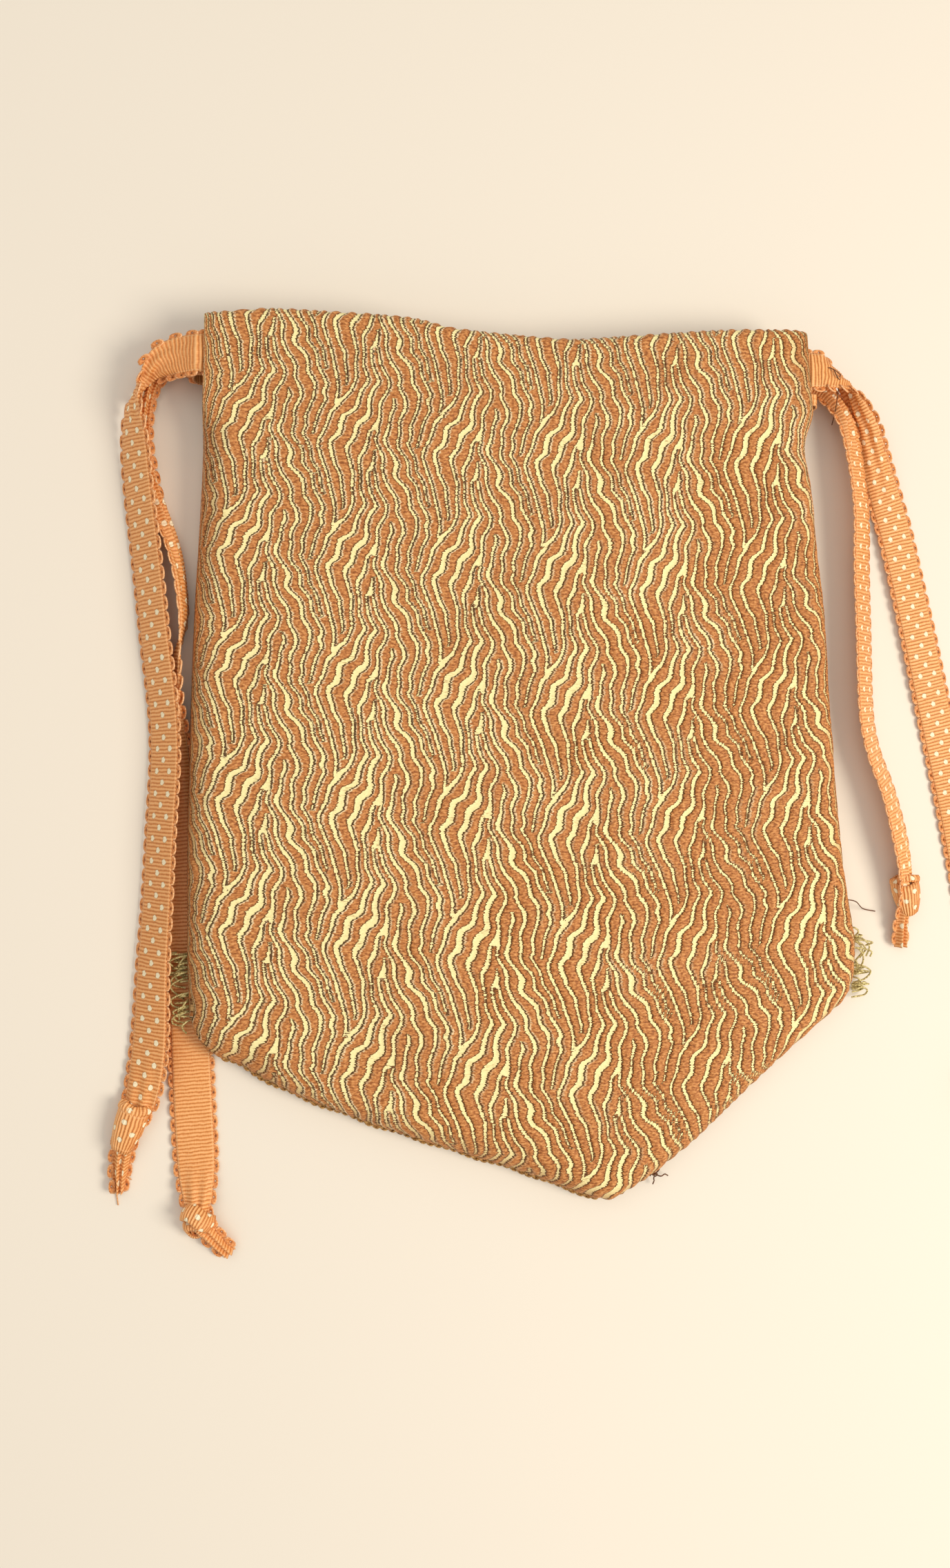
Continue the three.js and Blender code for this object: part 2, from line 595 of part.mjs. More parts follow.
// A tuft: a rolled head along the seam, with thread ends fused to it.
function tuft(side, threads, top) {
  const startY = lowerY(side < 0 ? 0 : 1) + top;
  const gap = side * (clearance + threadWidth * 0.6);
  const last = threads.at(-1).from * tuftReach;
  const upright = new THREE.Vector3(0, 0, 1);
  const headStations = evenly(-0.2, 1.2, 5).map((share) => {
    const y = startY - share * last;
    const place = new THREE.Vector3(sideX(side, y) + gap, y, seamHeight);
    return { place, side: upright, width: threadWidth * 1.4 };
  });
  let whole = strip(headStations, threadWidth * 1.2);
  for (const thread of threads) {
    const y = startY - thread.from * tuftReach;
    const x = sideX(side, y) + gap;
    const reach = new THREE.Vector3(side * thread.out, -thread.drop, 0).multiplyScalar(tuftReach);
    const stations = [0, 0.35, 0.7, 1].map((share) => {
      const place = new THREE.Vector3(x, y, seamHeight).addScaledVector(reach, share);
      place.z += Math.sin(share * Math.PI) * thread.lift * threadWidth - share * threadWidth * 0.6;
      const direction = new THREE.Vector3(-reach.y, reach.x, 0).normalize();
      return { place, side: direction, width: threadWidth * (1 - 0.4 * share) };
    });
    whole = whole.add(strip(stations, threadWidth * 0.8));
  }
  return whole;
}

function meshOf(name, manifold, material) {
  const made = manifold.getMesh();
  const geometry = new THREE.BufferGeometry();
  geometry.setAttribute("position", new THREE.BufferAttribute(made.vertProperties, 3));
  geometry.setIndex(new THREE.BufferAttribute(made.triVerts, 1));
  geometry.computeVertexNormals();
  const mesh = new THREE.Mesh(geometry, material);
  mesh.name = name;
  return mesh;
}

const finish = (color, roughness) =>
  new THREE.MeshStandardMaterial({ color, roughness, metalness: 0, flatShading: true });

const turnShift = (ribbonWidth + gatheredWidth) / 2 + clearance;
const ribbonLeft = ribbon(
  { side: -1, layer: 0, turnWidth: gatheredWidth, shift: turnShift },
  { rows: leftFrontRows, length: leftFrontTail },
  { rows: leftBackRows, length: leftBackTail },
);
const ribbonRight = ribbon(
  { side: 1, layer: 1, turnWidth: ribbonWidth, shift: 0 },
  { rows: rightFrontRows, length: rightFrontTail },
  { rows: rightBackRows, length: rightBackTail },
);
const reticule = new THREE.Group();
reticule.add(
  meshOf("front_panel", panel(frontOuter, 1), finish("#c8803f", 0.6)),
  meshOf("back_panel", panel(backOuter, -1), finish("#b8743a", 0.6)),
  meshOf("ribbon_left", ribbonLeft, finish("#e59a55", 0.55)),
  meshOf("ribbon_right", ribbonRight, finish("#e8a05c", 0.55)),
  meshOf("tuft_left", tuft(-1, leftThreads, leftTuftTop), finish("#b39a52", 0.5)),
  meshOf("tuft_right", tuft(1, rightThreads, rightTuftTop), finish("#c2a85c", 0.5)),
);

export default reticule;
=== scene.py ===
import bpy
import math
import numpy as np
from mathutils import Matrix, Vector


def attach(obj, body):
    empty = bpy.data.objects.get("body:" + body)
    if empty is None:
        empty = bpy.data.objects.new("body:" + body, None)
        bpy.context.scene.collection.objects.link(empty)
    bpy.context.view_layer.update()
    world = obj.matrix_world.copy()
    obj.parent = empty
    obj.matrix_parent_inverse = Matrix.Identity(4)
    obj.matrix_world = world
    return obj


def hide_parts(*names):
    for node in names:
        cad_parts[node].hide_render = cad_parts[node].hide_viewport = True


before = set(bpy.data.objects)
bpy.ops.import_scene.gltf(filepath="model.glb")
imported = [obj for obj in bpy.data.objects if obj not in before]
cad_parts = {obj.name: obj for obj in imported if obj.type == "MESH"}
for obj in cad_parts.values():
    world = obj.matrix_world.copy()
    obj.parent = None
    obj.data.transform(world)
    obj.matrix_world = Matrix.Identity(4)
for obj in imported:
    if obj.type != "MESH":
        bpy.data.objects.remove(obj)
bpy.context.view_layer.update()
mm = 0.001

# The camera looks down on the bag from its left side, ten degrees off upright
view = {"eye": (-74.8, -5.65, 326.0), "aim": (-17.35, -5.65, 0.0), "lens": 26.92, "filmLength": 36.0}


def placeCamera():
    data = bpy.data.cameras.new("camera")
    data.lens = view["lens"]
    data.sensor_width = view["filmLength"]  # the long side of the picture
    camera = bpy.data.objects.new("camera", data)
    eye, aim = Vector(view["eye"]) * mm, Vector(view["aim"]) * mm
    forward = (aim - eye).normalized()
    right = forward.cross(Vector((0, 1, 0))).normalized()
    turn = Matrix((right, right.cross(forward), -forward)).transposed().to_4x4()
    camera.matrix_world = Matrix.Translation(eye) @ turn
    bpy.context.scene.collection.objects.link(camera)
    bpy.context.scene.camera = camera


placeCamera()
print("camera placed")


# Small helpers, all lengths in millimetres
def ease(value, low, high):
    t = np.clip((np.asarray(value, float) - low) / (high - low), 0, 1)
    return t * t * (3 - 2 * t)


def column(rows, at, which):
    return np.interp(at, [row[0] for row in rows], [row[which] for row in rows])


def softened(function, at, reach):
    return sum(function(at + step * reach) for step in (-1, -0.5, 0, 0.5, 1)) / 5


def unit(vectors):
    return vectors / np.maximum(np.linalg.norm(vectors, axis=-1, keepdims=True), 1e-9)


def lengthAlong(line):
    return np.concatenate([[0], np.cumsum(np.linalg.norm(np.diff(line, axis=0), axis=1))])


def newMesh(name, points, faces, attributes=None, edges=()):
    mesh = bpy.data.meshes.new(name)
    mesh.from_pydata((np.asarray(points, float) * mm).tolist(), list(edges), faces)
    for key, values in (attributes or {}).items():
        vectors = np.asarray(values, float).ravel()
        mesh.attributes.new(key, "FLOAT_VECTOR", "POINT").data.foreach_set("vector", vectors)
    mesh.shade_smooth()
    mesh.update()
    piece = bpy.data.objects.new(name, mesh)
    bpy.context.scene.collection.objects.link(piece)
    return piece


# Four-sided faces over a grid of points, round both ways if it is closed and looped
def gridFaces(rows, columns, flip=False, closed=False, loop=False, start=0):
    downward = np.arange(rows if loop else rows - 1)
    sideways = np.arange(columns if closed else columns - 1)
    r, c = np.meshgrid(downward, sideways, indexing="ij")
    below, after = (r + 1) % rows, (c + 1) % columns
    corners = [r * columns + c, r * columns + after, below * columns + after, below * columns + c]
    quads = np.stack(corners, -1).reshape(-1, 4) + start
    return (quads[:, ::-1] if flip else quads).tolist()


def gridNormals(grid):
    return unit(np.cross(np.gradient(grid, axis=1), np.gradient(grid, axis=0)))


def linear(code):
    channels = [int(code[i:i + 2], 16) / 255 for i in (1, 3, 5)]
    return tuple(c / 12.92 if c <= 0.04045 else ((c + 0.055) / 1.055) ** 2.4 for c in channels) + (1.0,)


# Sets a node's inputs, by number or name, to a number, a socket, or another node's first output
def plug(tree, node, inputs):
    for key, value in inputs.items() if isinstance(inputs, dict) else enumerate(inputs):
        if isinstance(value, bpy.types.Node):
            value = value.outputs[0]
        if isinstance(value, bpy.types.NodeSocket):
            tree.links.new(value, node.inputs[key])
        elif value is not None:
            node.inputs[key].default_value = value


# Adds one node; a kind in capitals is an operation of the maths node
def addNode(tree, kind, inputs=(), stops=(), **settings):
    if kind.isupper():
        kind, settings["operation"] = "ShaderNodeMath", kind
    node = tree.nodes.new(kind)
    for key, value in settings.items():
        setattr(node, key, value)
    plug(tree, node, inputs)
    for i, (place, code) in enumerate(stops):
        mark = node.color_ramp.elements[i] if i < 2 else node.color_ramp.elements.new(place)
        mark.position = place
        mark.color = linear(code)
    return node


def newMaterial(name):
    material = bpy.data.materials.new(name)
    material.use_nodes = True
    tree = material.node_tree
    tree.nodes.clear()
    shader = addNode(tree, "ShaderNodeBsdfPrincipled")
    addNode(tree, "ShaderNodeOutputMaterial", {"Surface": shader})
    return material, tree, shader


brocadeLook = {
    # Painted light among these colours: the crinkle's deep and glint are shade and highlight, the outline and
    # the olive are shade beside the floats, the pale dots a highlight, and the shaded cream is the floats'
    # shade near the edges
    "deep": "#915425", "orange": "#c27c42", "glint": "#e5a666", "outline": "#52300f", "oliveShade": "#8d7a58",
    "cream": "#fff3b4", "creamLine": "#b9935a", "shadedCream": "#d4a468", "paleHighlightDots": "#ffe2b4",
    # how often a noise repeats per mm across and down, and its detail
    "noises": {"weft": (0.5, 1 / 0.34, 0.0), "ragged": (3.4, 3.4, 1.0), "crinkle": (1 / 1.1, 1 / 0.55, 2.0),
               "hairline": (0.6, 4.2, 0.0), "patch": (0.045, 0.045, 1.0), "dots": (1.2, 1.9, 0.0),
               "wear": (0.16, 0.16, 1.0)},
    "frays": {"weft": 0.5, "ragged": 0.12},  # how far each moves a float's edge, in mm
    # lines of painted shade and highlight beside a float: how far from its edge, how sharply they end, how
    # full they are
    "lines": {"oliveShade": (0.4, -4.2, 1.4), "paleHighlightDots": (0.76, -5.0, 1.6), "outline": (0.14, -1 / 0.32, 1.15)},
    "outlineShadeShare": 0.85, "halfWide": 0.5, "veiled": -0.25, "floatSharp": -7.0,
    # the olive painted shade and the dotted painted highlight come in patches, more of them to the upper left
    "patchDeep": 4.4, "patchPerX": -0.012, "patchPerY": 0.005, "patchStart": -1.7,
    "highs": {"crinkle": 0.45, "hairline": 0.05}, "puffHigh": 0.5, "bump": 0.75,
    "roughGround": 0.6, "roughFloat": -0.12, "sheen": 0.35,
}


# Silk brocade: puffed orange warp ridges with a fine crinkle, bright flat floats of cream weft
# between them with stepped edges, and a dark outline of painted shade round each float
def brocadeMaterial():
    look = brocadeLook
    material, tree, shader = newMaterial("silk brocade")
    named = [addNode(tree, "ShaderNodeAttribute", attribute_name=name).outputs["Vector"]
             for name in ("stripe", "strand", "cloth")]
    turn, thread, spot = [addNode(tree, "ShaderNodeSeparateXYZ", (vector,)).outputs for vector in named]
    flat = addNode(tree, "ShaderNodeCombineXYZ", (spot[0], spot[1]))
    noises = {}
    for name, (across, down, detail) in look["noises"].items():
        place = addNode(tree, "ShaderNodeMapping", {"Vector": flat, "Scale": (across, down, 1.0)})
        noises[name] = addNode(tree, "ShaderNodeTexNoise", {"Vector": place, "Scale": 1.0, "Detail": detail})

    # how far, in mm, from the edge of the nearest cream float, less than nothing inside it
    phase = addNode(tree, "ARCTAN2", (turn[1], turn[0]))
    signed = addNode(tree, "MULTIPLY", (phase, turn[2]))
    signed = addNode(tree, "MULTIPLY", (signed, 1 / (2 * math.pi)))
    away = addNode(tree, "ABSOLUTE", (signed,))
    thin = addNode(tree, "MULTIPLY_ADD", (spot[2], look["veiled"], look["halfWide"]))
    half = addNode(tree, "MULTIPLY", (thread[0], thin))
    edge = addNode(tree, "SUBTRACT", (away, half))
    for name, reach in look["frays"].items():
        step = addNode(tree, "MULTIPLY_ADD", (noises[name], reach * 2, -reach))
        edge = addNode(tree, "ADD", (edge, step))

    # masks: cream float, a band of olive painted shade and a dotted pale painted highlight on its right, and
    # a dark outline of painted shade
    cream = addNode(tree, "MULTIPLY_ADD", (edge, look["floatSharp"], 0.5), use_clamp=True)
    patch = addNode(tree, "MULTIPLY_ADD", (spot[1], look["patchPerY"], look["patchStart"]))
    patch = addNode(tree, "MULTIPLY_ADD", (spot[0], look["patchPerX"], patch))
    patch = addNode(tree, "MULTIPLY_ADD", (noises["patch"], look["patchDeep"], patch), use_clamp=True)
    # the olive painted shade and the dotted painted highlight lie only on each float's right side
    toRight = addNode(tree, "GREATER_THAN", (signed, 0.0))
    toRight = addNode(tree, "MULTIPLY", (toRight, patch))
    # where the dotted pale painted highlight shows along its line
    dots = addNode(tree, "MULTIPLY_ADD", (noises["dots"], 5.0, -1.55), use_clamp=True)
    # the outline is painted shade along both edges of each float
    within = {"oliveShade": [toRight], "paleHighlightDots": [dots, toRight], "outline": [look["outlineShadeShare"]]}
    covers = []
    for name, (place, sharp, full) in look["lines"].items():
        mask = addNode(tree, "SUBTRACT", (edge, place))
        mask = addNode(tree, "ABSOLUTE", (mask,))
        mask = addNode(tree, "MULTIPLY_ADD", (mask, sharp, full), use_clamp=True)
        for share in within[name]:
            mask = addNode(tree, "MULTIPLY", (mask, share))
        covers.append((mask, linear(look[name])))

    worn = addNode(tree, "MULTIPLY_ADD", (noises["wear"], 6.0, -3.1), use_clamp=True)
    hairlines = ((0.3, look["creamLine"]), (0.37, look["cream"]))
    silk = addNode(tree, "ShaderNodeValToRGB", (noises["hairline"],), stops=hairlines)
    silk = addNode(tree, "ShaderNodeMix", {0: worn, 6: linear(look["cream"]), 7: silk}, data_type="RGBA")
    # near the rounded edges the floats' cream is painted in shade
    silk = addNode(tree, "ShaderNodeMix", {0: thread[2], 6: silk.outputs[2], 7: linear(look["shadedCream"])},
                   data_type="RGBA")
    # the crinkle's colour is painted shade in its hollows and a painted highlight (glint) on its rises
    ridges = ((0.34, look["deep"]), (0.5, look["orange"]), (0.68, look["glint"]))
    colour = addNode(tree, "ShaderNodeValToRGB", (noises["crinkle"],), stops=ridges)
    for mask, cover in covers + [(cream, silk.outputs[2])]:
        colour = addNode(tree, "ShaderNodeMix", {0: mask, 6: colour, 7: cover}, data_type="RGBA").outputs[2]

    puff = addNode(tree, "MAXIMUM", (edge, 0.0))
    height = addNode(tree, "MINIMUM", (puff, look["puffHigh"]))
    for name, high in look["highs"].items():
        height = addNode(tree, "MULTIPLY_ADD", (noises[name], high, height))
    bump = addNode(tree, "ShaderNodeBump", {"Height": height, "Strength": look["bump"], "Distance": mm})
    rough = addNode(tree, "MULTIPLY_ADD", (cream, look["roughFloat"], look["roughGround"]))
    plug(tree, shader, {"Base Color": colour, "Normal": bump, "Roughness": rough,
                        "Specular IOR Level": look["sheen"]})
    return material


ribbonLook = {
    # the groove colour is painted shade in the ribs' grooves and the light colour a painted highlight on
    # their tops
    "grooveShade": "#c67638", "ground": "#efa45c", "light": "#ffc487", "dot": "#fff1cf", "dotEdge": "#b98a55",
    "selvedge": "#f7c088", "ribPitch": 1.0, "dotPitch": 6.0, "dotColumn": 2.4, "dotSize": 0.66,
    "dotLong": 0.86, "dotRagged": 0.15, "selvedgeAt": 4.7, "ribWander": 0.5, "grain": (3.2, 0.8, 1.0),
    "bump": 0.6, "rough": 0.48,
}


# Polyester grosgrain: a firm ribbed weave with a low satin gleam, small oval dots floated in on
# one face only, and a smooth selvedge line inside each edge
def ribbonMaterial():
    look = ribbonLook
    material, tree, shader = newMaterial("dotted grosgrain ribbon")
    weave = addNode(tree, "ShaderNodeAttribute", attribute_name="weave").outputs["Vector"]
    place = addNode(tree, "ShaderNodeSeparateXYZ", (weave,)).outputs
    across = addNode(tree, "ABSOLUTE", (place[0],))

    # how far to the middle of the nearest dot, with a ragged edge, then the dot and its halo
    nearest = None
    for dotAcross, shift in ((look["dotColumn"], 0.0), (0.0, look["dotPitch"] / 2)):
        along = addNode(tree, "ADD", (place[1], shift))
        along = addNode(tree, "PINGPONG", (along, look["dotPitch"] / 2))
        along = addNode(tree, "MULTIPLY", (along, look["dotLong"]))
        aside = addNode(tree, "SUBTRACT", (across, dotAcross))
        both = addNode(tree, "ShaderNodeCombineXYZ", (along, aside))
        far = addNode(tree, "ShaderNodeVectorMath", (both,), operation="LENGTH").outputs["Value"]
        nearest = far if nearest is None else addNode(tree, "MINIMUM", (nearest, far))
    ragged = addNode(tree, "ShaderNodeTexNoise", {"Vector": weave, "Scale": 2.2, "Detail": 1.0})
    ragged = addNode(tree, "MULTIPLY_ADD", (ragged, look["dotRagged"] * 2, -look["dotRagged"]))
    nearest = addNode(tree, "ADD", (nearest, ragged))
    dotted = addNode(tree, "GREATER_THAN", (place[2], 0.0))
    marks = []
    for sharp, wider, share in ((7.0, 1.4, 0.75), (9.0, 0.5, 1.0)):
        level = sharp * look["dotSize"] + wider
        mark = addNode(tree, "MULTIPLY_ADD", (nearest, -sharp, level), use_clamp=True)
        mark = addNode(tree, "MULTIPLY", (mark, dotted))
        marks.append(addNode(tree, "MULTIPLY", (mark, share)))
    halo, dot = marks

    wavy = addNode(tree, "ShaderNodeTexNoise", {"Vector": weave, "Scale": 0.5, "Detail": 1.0})
    rib = addNode(tree, "MULTIPLY_ADD", (wavy, look["ribWander"], place[1]))
    rib = addNode(tree, "PINGPONG", (rib, look["ribPitch"] / 2))
    grain = addNode(tree, "ShaderNodeMapping", {"Vector": weave, "Scale": look["grain"]})
    grain = addNode(tree, "ShaderNodeTexNoise", {"Vector": grain, "Scale": 1.0, "Detail": 2.0})
    tone = addNode(tree, "MULTIPLY_ADD", (grain, 0.5, -0.08))
    tone = addNode(tree, "MULTIPLY_ADD", (rib, 1.5, tone))
    # the ribs' colour is painted shade in their grooves and a painted highlight on their tops, over the
    # grain's own tone
    ribShadeAndGrainTones = ((0.22, look["grooveShade"]), (0.5, look["ground"]), (0.9, look["light"]))
    colour = addNode(tree, "ShaderNodeValToRGB", (tone,), stops=ribShadeAndGrainTones)
    fromEdge = addNode(tree, "SUBTRACT", (across, look["selvedgeAt"]))
    fromEdge = addNode(tree, "ABSOLUTE", (fromEdge,))
    selvedge = addNode(tree, "MULTIPLY_ADD", (fromEdge, -3.5, 0.75), use_clamp=True)
    for mask, name in ((selvedge, "selvedge"), (halo, "dotEdge"), (dot, "dot")):
        layers = {0: mask, 6: colour, 7: linear(look[name])}
        colour = addNode(tree, "ShaderNodeMix", layers, data_type="RGBA").outputs[2]
    height = addNode(tree, "MULTIPLY_ADD", (grain, 0.12, rib))
    height = addNode(tree, "MULTIPLY_ADD", (dot, 0.15, height))
    bump = addNode(tree, "ShaderNodeBump", {"Height": height, "Strength": look["bump"], "Distance": 0.5 * mm})
    plug(tree, shader, {"Base Color": colour, "Normal": bump, "Roughness": look["rough"]})
    return material


# Spun sewing thread: fibres wound round it give fine slanting bands, painted in its colour as light and shade
# as well as bumped
def threadMaterial(name, dark, light, pitch):
    material, tree, shader = newMaterial(name)
    place = addNode(tree, "ShaderNodeTexCoord").outputs["Object"]
    slanted = {"Vector": place, "Scale": (1 / mm,) * 3, "Rotation": (0.5, 0.4, 0.7)}
    turned = addNode(tree, "ShaderNodeMapping", slanted)
    bands = addNode(tree, "ShaderNodeTexNoise", {"Vector": turned, "Scale": 1 / pitch, "Detail": 2.0})
    # the bands are painted: the dark colour is painted shade, the light colour a painted highlight
    colour = addNode(tree, "ShaderNodeValToRGB", (bands,), stops=((0.36, dark), (0.6, light)))
    bump = addNode(tree, "ShaderNodeBump", {"Height": bands, "Strength": 0.6, "Distance": 0.15 * mm})
    plug(tree, shader, {"Base Color": colour, "Normal": bump, "Roughness": 0.5})
    return material


# Geometry Nodes: a thread along each line, and one shape set on each point
def newTree(name, inputs):
    tree = bpy.data.node_groups.new(name, "GeometryNodeTree")
    for label, kind, value in inputs:
        socket = tree.interface.new_socket(name=label, in_out="INPUT", socket_type="NodeSocket" + kind)
        if value is not None:
            socket.default_value = value
    tree.interface.new_socket(name="Geometry", in_out="OUTPUT", socket_type="NodeSocketGeometry")
    return tree, addNode(tree, "NodeGroupInput").outputs


def finishTree(tree, shape, material):
    real = addNode(tree, "GeometryNodeRealizeInstances", (shape,))
    dressed = addNode(tree, "GeometryNodeSetMaterial", {"Geometry": real, "Material": material})
    addNode(tree, "NodeGroupOutput", (dressed,))
    return tree


def threadTree(material):
    tree, given = newTree("thread", (("Lines", "Geometry", None), ("Radius", "Float", 0.25 * mm),
                                     ("Sides", "Int", 6)))
    lines = addNode(tree, "GeometryNodeMeshToCurve", (given["Lines"],))
    ring = addNode(tree, "GeometryNodeCurvePrimitiveCircle",
                   {"Resolution": given["Sides"], "Radius": given["Radius"]})
    tube = {"Curve": lines, "Profile Curve": ring, "Fill Caps": True}
    tube = addNode(tree, "GeometryNodeCurveToMesh", tube)
    return finishTree(tree, tube, material)


def scatterTree(name, shape, material):
    tree, given = newTree(name, (("Points", "Geometry", None), ("Size", "Float", 1.0)))
    kind = "GeometryNodeInputNamedAttribute"
    outward, upward = [addNode(tree, kind, {"Name": key}, data_type="FLOAT_VECTOR")
                       for key in ("outward", "upward")]
    faced = addNode(tree, "FunctionNodeAlignRotationToVector", {"Vector": upward}, axis="Z")
    turned = addNode(tree, "FunctionNodeAlignRotationToVector", {"Rotation": faced, "Vector": outward},
                     axis="Y", pivot_axis="Z")
    source = addNode(tree, "GeometryNodeObjectInfo", {"Object": shape})
    points = addNode(tree, "GeometryNodeMeshToPoints", {"Mesh": given["Points"]})
    spread = addNode(tree, "GeometryNodeInstanceOnPoints", {
        "Points": points, "Instance": source.outputs["Geometry"], "Rotation": turned, "Scale": given["Size"]})
    return finishTree(tree, spread, material)


def applied(piece, tree, values):
    modifier = piece.modifiers.new("made", "NODES")
    modifier.node_group = tree
    for socket in tree.interface.items_tree:
        if socket.name in values:
            modifier[socket.identifier] = values[socket.name]
    graph = bpy.context.evaluated_depsgraph_get()
    made = bpy.data.meshes.new_from_object(piece.evaluated_get(graph))
    piece.modifiers.clear()
    piece.data = made
    piece.data.shade_smooth()
    return piece


def sewn(name, lines, radius, material):
    points, edges = [], []
    for line in lines:
        edges += [(len(points) + i, len(points) + i + 1) for i in range(len(line) - 1)]
        points += [(p[0], p[1], max(p[2], radius)) for p in line]  # none goes through the floor
    piece = newMesh(name, points, [], edges=edges)
    applied(piece, threadTree(material), {"Radius": radius * mm, "Sides": 6})
    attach(piece, "root")
    return piece


def scatter(name, tree, spots, values):
    points, outward, upward = zip(*spots)
    piece = newMesh(name, points, [], {"outward": outward, "upward": upward})
    applied(piece, tree, values)
    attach(piece, "root")
    return piece


# The brocade's stripes, one repeat charted. Each cream strand runs down through it: how far
# down, how far across, and its width, in thousandths of the repeat. Strands start and end in
# points, and join and part in forks.
repeat = {
    "across": 30.2,  # mm
    "slimShare": 0.93, "slimPower": 1.06,  # narrow floats are drawn in more than broad ones
    "strands": {
        "stem": [(0, 5, 60), (30, -5, 55), (54, -30, 50), (100, -75, 40), (157, -93, 30), (217, -113, 28),
            (270, -142, 28), (320, -176, 32), (380, -185, 26), (431, -166, 30), (586, -93.5, 28),
            (700, -60, 28), (810, -26, 28), (870, -11, 24), (930, -11, 22), (1000, -26, 25),
            (1020, -20, 30)],
        "sweep": [(0, 178, 44), (30, 172, 44), (60, 145, 60), (90, 86, 85), (120, 45, 58), (170, 31, 56),
            (220, 26, 56), (270, 4, 70), (310, -56, 58), (350, -71, 42), (400, -58, 46), (450, -40, 40),
            (500, -27, 36), (550, 8, 36), (600, 40, 28), (660, 43, 22), (780, 66, 20), (830, 71, 14),
            (868, 60, 4)],
        "broad": [(0, 287, 48), (50, 297, 46), (90, 282, 64), (130, 239, 100), (170, 187, 68),
            (220, 171, 50), (270, 159, 48), (310, 130, 65), (350, 94, 48), (400, 92, 30), (460, 118, 28),
            (520, 137, 30), (570, 156, 26), (690, 147, 22), (750, 156, 26), (800, 157, 24), (850, 138, 24),
            (900, 115, 30), (940, 81, 45), (970, 40, 60), (1000, 0, 70), (1020, -12, 50)],
        "crotch": [(0, 389, 30), (50, 393.6, 26), (100, 391, 32), (140, 376, 52), (180, 356, 84),
            (203, 350, 92)],
        "crotchLeft": [(195, 330, 40), (210, 311, 32), (250, 292, 28), (300, 284, 30), (350, 266, 42),
            (390, 243.6, 48), (430, 211.6, 34), (480, 207.8, 26), (540, 219, 20), (600, 227, 16),
            (660, 221, 14), (700, 227, 20), (750, 253, 28), (800, 275, 28), (820, 268, 36), (860, 239, 40),
            (900, 210, 36), (950, 193, 42), (1000, 178, 44)],
        "crotchRight": [(195, 380, 30), (210, 382, 20), (250, 363, 20), (290, 360, 22), (330, 384, 24),
            (380, 418, 32), (430, 437, 34), (480, 430, 32), (530, 434, 28), (580, 453.6, 30),
            (630, 480, 38), (670, 515, 50), (710, 555, 36), (750, 573, 36), (790, 582, 30), (820, 568, 30),
            (860, 585, 32), (900, 616, 36), (940, 637, 40), (1000, 643, 36)],
        "outer": [(0, 643, 36), (40, 621, 34), (80, 595, 30), (130, 580, 22), (180, 589, 22),
            (220, 589, 22), (270, 572, 24), (320, 577, 26), (360, 607, 28), (400, 655, 28), (440, 677, 22),
            (490, 679, 24), (530, 677, 30), (570, 718, 34), (610, 764, 30), (660, 778, 26), (710, 783, 28),
            (760, 810, 32), (810, 846.5, 34), (860, 875.5, 34), (890, 880, 38), (920, 856, 45),
            (950, 858, 40), (980, 873, 28), (1000, 875, 30)],
        "knee": [(-75, 514, 4), (-40, 529, 24), (0, 533, 34), (40, 512, 28), (90, 493, 20), (140, 488, 20),
            (180, 480, 30), (220, 461, 40), (260, 445, 45), (300, 453.6, 40), (340, 485.5, 34),
            (380, 524, 36), (420, 553, 50), (460, 573, 58), (500, 558, 58), (540, 546.5, 46),
            (580, 573, 56), (610, 626, 66), (650, 672, 50), (700, 693.6, 34), (790, 700, 34),
            (830, 734, 50), (870, 766, 34), (920, 771, 26), (1000, 757, 26)],
        "long": [(0, 757, 26), (50, 734, 22), (100, 711, 24), (150, 689, 26), (220, 698, 24),
            (250, 692, 22), (280, 669, 30), (310, 682, 24), (350, 711, 20), (390, 737, 20), (440, 750, 14),
            (490, 754.5, 18), (530, 785.5, 22), (570, 819, 20), (620, 839, 18), (670, 848, 16),
            (720, 865, 14), (765, 887, 3)],
        "short": [(0, 875, 30), (40, 853, 22), (90, 824, 20), (140, 805, 18), (190, 790, 18),
            (240, 778, 16), (280, 766, 10), (305, 757, 3)],
        "spindle": [(367, 348, 3), (400, 352, 14), (440, 348, 30), (480, 340, 44), (510, 326, 56),
            (530, 323, 72)],
        "spindleLeft": [(520, 300, 30), (540, 292, 22), (600, 295, 20), (650, 304.5, 24), (700, 318, 30),
            (750, 347, 34), (790, 375, 36), (815, 379, 48), (850, 343, 55), (890, 316, 46), (940, 297, 40),
            (1000, 287, 48)],
        "spindleRight": [(520, 347, 30), (540, 355, 22), (600, 371, 24), (660, 384, 26), (710, 415, 28),
            (760, 456.5, 30), (800, 479, 30), (840, 478, 26), (880, 463, 28), (920, 437, 32),
            (960, 405, 34), (1000, 389, 30)],
    },
}
# Which repeat a place on the cloth falls in, from powers of its x and y in decimetres
repeatAcross = (0.915, 3.329, 0.212, -0.112, 0.229, -0.067, -0.051, 0.022, 0.013, -0.027)
repeatDown = (0.744, -0.148, -2.904, 0.303, 0.062, -0.052, 0.11, -0.063, 0.083, 0.015)


